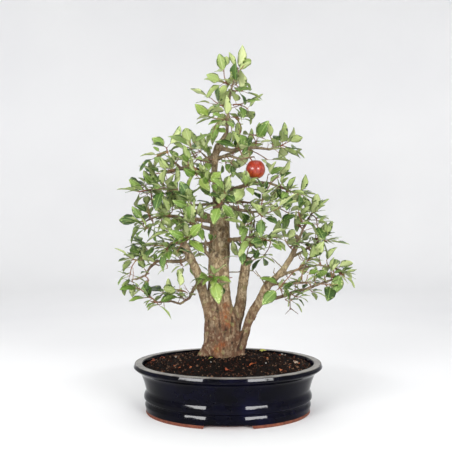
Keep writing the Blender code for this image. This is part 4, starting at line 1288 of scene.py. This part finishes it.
def appleMaterial():
    made, tree, shader, place = newMaterial("waxy_crabapple_skin", 0.28)
    shader.inputs["Coat Weight"].default_value = 0.25
    shader.inputs["Coat Roughness"].default_value = 0.18
    links = (place, tuple(fruitMiddle))
    local = addNode(tree, "ShaderNodeVectorMath", links, operation="SUBTRACT")
    upright = addNode(tree, "ShaderNodeMapping", {"Vector": local, "Scale": (1.0, 1.0, 0.22)})
    streaks, blush, waves = (
        addNode(tree, "ShaderNodeTexNoise", (where, None, *grain))
        for where, *grain in ((upright, 420.0, 4.0, 0.6), (local, 60.0, 2.0, 0.55), (local, 180.0, 3.0, 0.55))
    )
    stops = [(0.3, "#62110b"), (0.5, "#842011"), (0.72, "#a43a1a")]
    red = addNode(tree, "ShaderNodeValToRGB", (streaks,), stops)
    height = addNode(tree, "ShaderNodeSeparateXYZ", (local,), give="Z")
    under = addNode(tree, "ShaderNodeMapRange", (height, 0.004, -0.016))
    low = addNode(tree, "ShaderNodeMath", (under, blush), operation="MULTIPLY")
    dots = addNode(tree, "ShaderNodeTexVoronoi", {"Vector": local, "Scale": 520.0})
    flush, spots = (low, 0.2, 0.65, 0.0, 0.6, "#dd7a3c"), (dots, 0.08, 0.16, 0.5, 0.0, "#e0a070")
    colour = laidOver(tree, red, flush, spots)
    endMaterial(tree, shader, colour, waves, 0.2 * mm, 0.3)
    return made


def makeApple():
    plan = applePlan
    radius = plan["radius"]
    centre = Vector((fruitMiddle.x, fruitMiddle.y, fruitHigh.z - 0.92 * radius))

    def lobed(r, z, turn):
        lobe = 1.0 + 0.010 * math.cos(5 * turn) + 0.010 * math.sin(2 * turn + 0.7)
        return centre + Vector((r * lobe * math.cos(turn), r * lobe * math.sin(turn), z)) * radius

    mesh = revolved("crabapple_plain", plan["profile"], plan["steps"], lobed, outwards=False)
    mesh.flip_normals()
    skin = subdivided(mesh, "crabapple_skin", 1)
    skin.materials.append(appleMaterial())
    points, faces = [], []
    foot = centre + Vector((0, 0, -0.80 * radius))
    for number in range(plan["sepals"]):
        turn = math.tau * number / plan["sepals"] + 0.3
        out, side = Vector((math.cos(turn), math.sin(turn), 0)), Vector((-math.sin(turn), math.cos(turn), 0))
        faces += tubeFaces(len(points), 3, 4)
        for reach, half, drop in ((0.3, 0.9, 0.0), (2.2, 1.1, 1.6), (4.6, 0.2, 1.4)):
            spot = foot + out * reach * mm - Vector((0, 0, drop * mm))
            for across, lift in ((-half, 0.25), (half, 0.25), (half, -0.25), (-half, -0.25)):
                points.append(spot + side * across * mm + Vector((0, 0, lift * mm)))
    sepals = meshFrom("dried_sepals", points, faces, outwards=True)
    sepals.materials.append(shootBark)
    return joined("ripe_crabapple", [skin, sepals])


finishPiece(makeApple(), "fruit_skin", "fruit")
print("fruit hung")


# Drain screens stay as they are, in moulded black plastic with a faint dull grain.
screenPlastic = plainMaterial(
    "moulded_black_polypropylene", 0.55, (1200.0, 3.0), [(0.3, "#141414"), (0.7, "#232322")],
    (1200.0, 3.0), 0.1 * mm,
)
for side in ("left", "right"):
    for holder in frame["nodes"][f"drain_screen_{side}"].material_slots:
        holder.material = screenPlastic


# The setting: a pale floor that curves up into a pale wall all round, and soft light.
stagePlan = {
    "floorRadius": 2.3, "wallRadius": 3.3, "wallHeight": 2.6, "lens": 50.0, "sensor": 36.0,
    "windows": 37.0, "windowSize": (1.05, 0.17), "windowTurns": (-37, 31),
    "windowAway": 2.3, "windowHeight": 0.8,
    "overhead": 18.0, "rear": 8.0, "sky": 0.43,
}


def makeStage():
    plan = stagePlan
    made, tree, shader, place = newMaterial("pale_matt_paper", 0.85)
    tone = addNode(tree, "ShaderNodeTexNoise", (place, None, 1.2, 2.0, 0.55))
    colour = addNode(tree, "ShaderNodeValToRGB", (tone,), [(0.3, "#f1f1f2"), (0.7, "#f6f6f6")])
    tree.links.new(colour, shader.inputs["Base Color"])
    corner = plan["wallRadius"] - plan["floorRadius"]
    profile = [(0.0, 0.0), (0.6, 0.0), (plan["floorRadius"], 0.0)]
    for turn in (math.pi / 2 * step / 12 for step in range(1, 13)):
        profile.append((plan["floorRadius"] + corner * math.sin(turn), corner * (1 - math.cos(turn))))
    profile.append((plan["wallRadius"], plan["wallHeight"]))
    mesh = revolved("pale_floor", profile, 96, onOval(1.0))
    mesh.flip_normals()
    mesh.materials.append(made)
    smoothShade(mesh)
    floor = meshObject("pale_floor", mesh)


makeStage()
lights = []
for side, turn in zip(("left", "right"), map(math.radians, stagePlan["windowTurns"])):
    away = stagePlan["windowAway"]
    place = (away * math.sin(turn), -away * math.cos(turn), stagePlan["windowHeight"])
    lights.append((f"window_{side}", place, 0.1, stagePlan["windowSize"], stagePlan["windows"]))
lights.append(("overhead", (0.0, -0.2, 2.5), 0.2, (2.4, 2.4), stagePlan["overhead"]))
lights.append(("rear", (0.0, 2.1, 1.9), 0.3, (1.8, 1.0), stagePlan["rear"]))
for name, place, aimHeight, size, power in lights:
    lamp = bpy.data.lights.new(name, "AREA")
    lamp.shape = "RECTANGLE"
    lamp.size, lamp.size_y = size
    lamp.energy = power
    holder = meshObject(name, lamp)
    holder.location = place
    holder.rotation_euler = (Vector((0, 0, aimHeight)) - Vector(place)).to_track_quat("-Z", "Y").to_euler()
    holder.visible_camera = False

sky = bpy.data.worlds.new("pale_sky")
scene.world = sky
sky.use_nodes = True
background = sky.node_tree.nodes["Background"]
background.inputs["Color"].default_value = linear("#f8f9fb")
background.inputs["Strength"].default_value = stagePlan["sky"]
scene.view_settings.view_transform = "Standard"

lens = bpy.data.cameras.new("camera")
lens.lens, lens.sensor_width = stagePlan["lens"], stagePlan["sensor"]
camera = meshObject("camera", lens)
camera.location = potCentre + Vector(elevation["eye"])
camera.rotation_euler = (math.pi / 2, 0.0, 0.0)
scene.camera = camera

for shapes in (leafShapes, grainShapes):
    for thing in list(shapes.objects):
        bpy.data.objects.remove(thing)
    bpy.data.collections.remove(shapes)
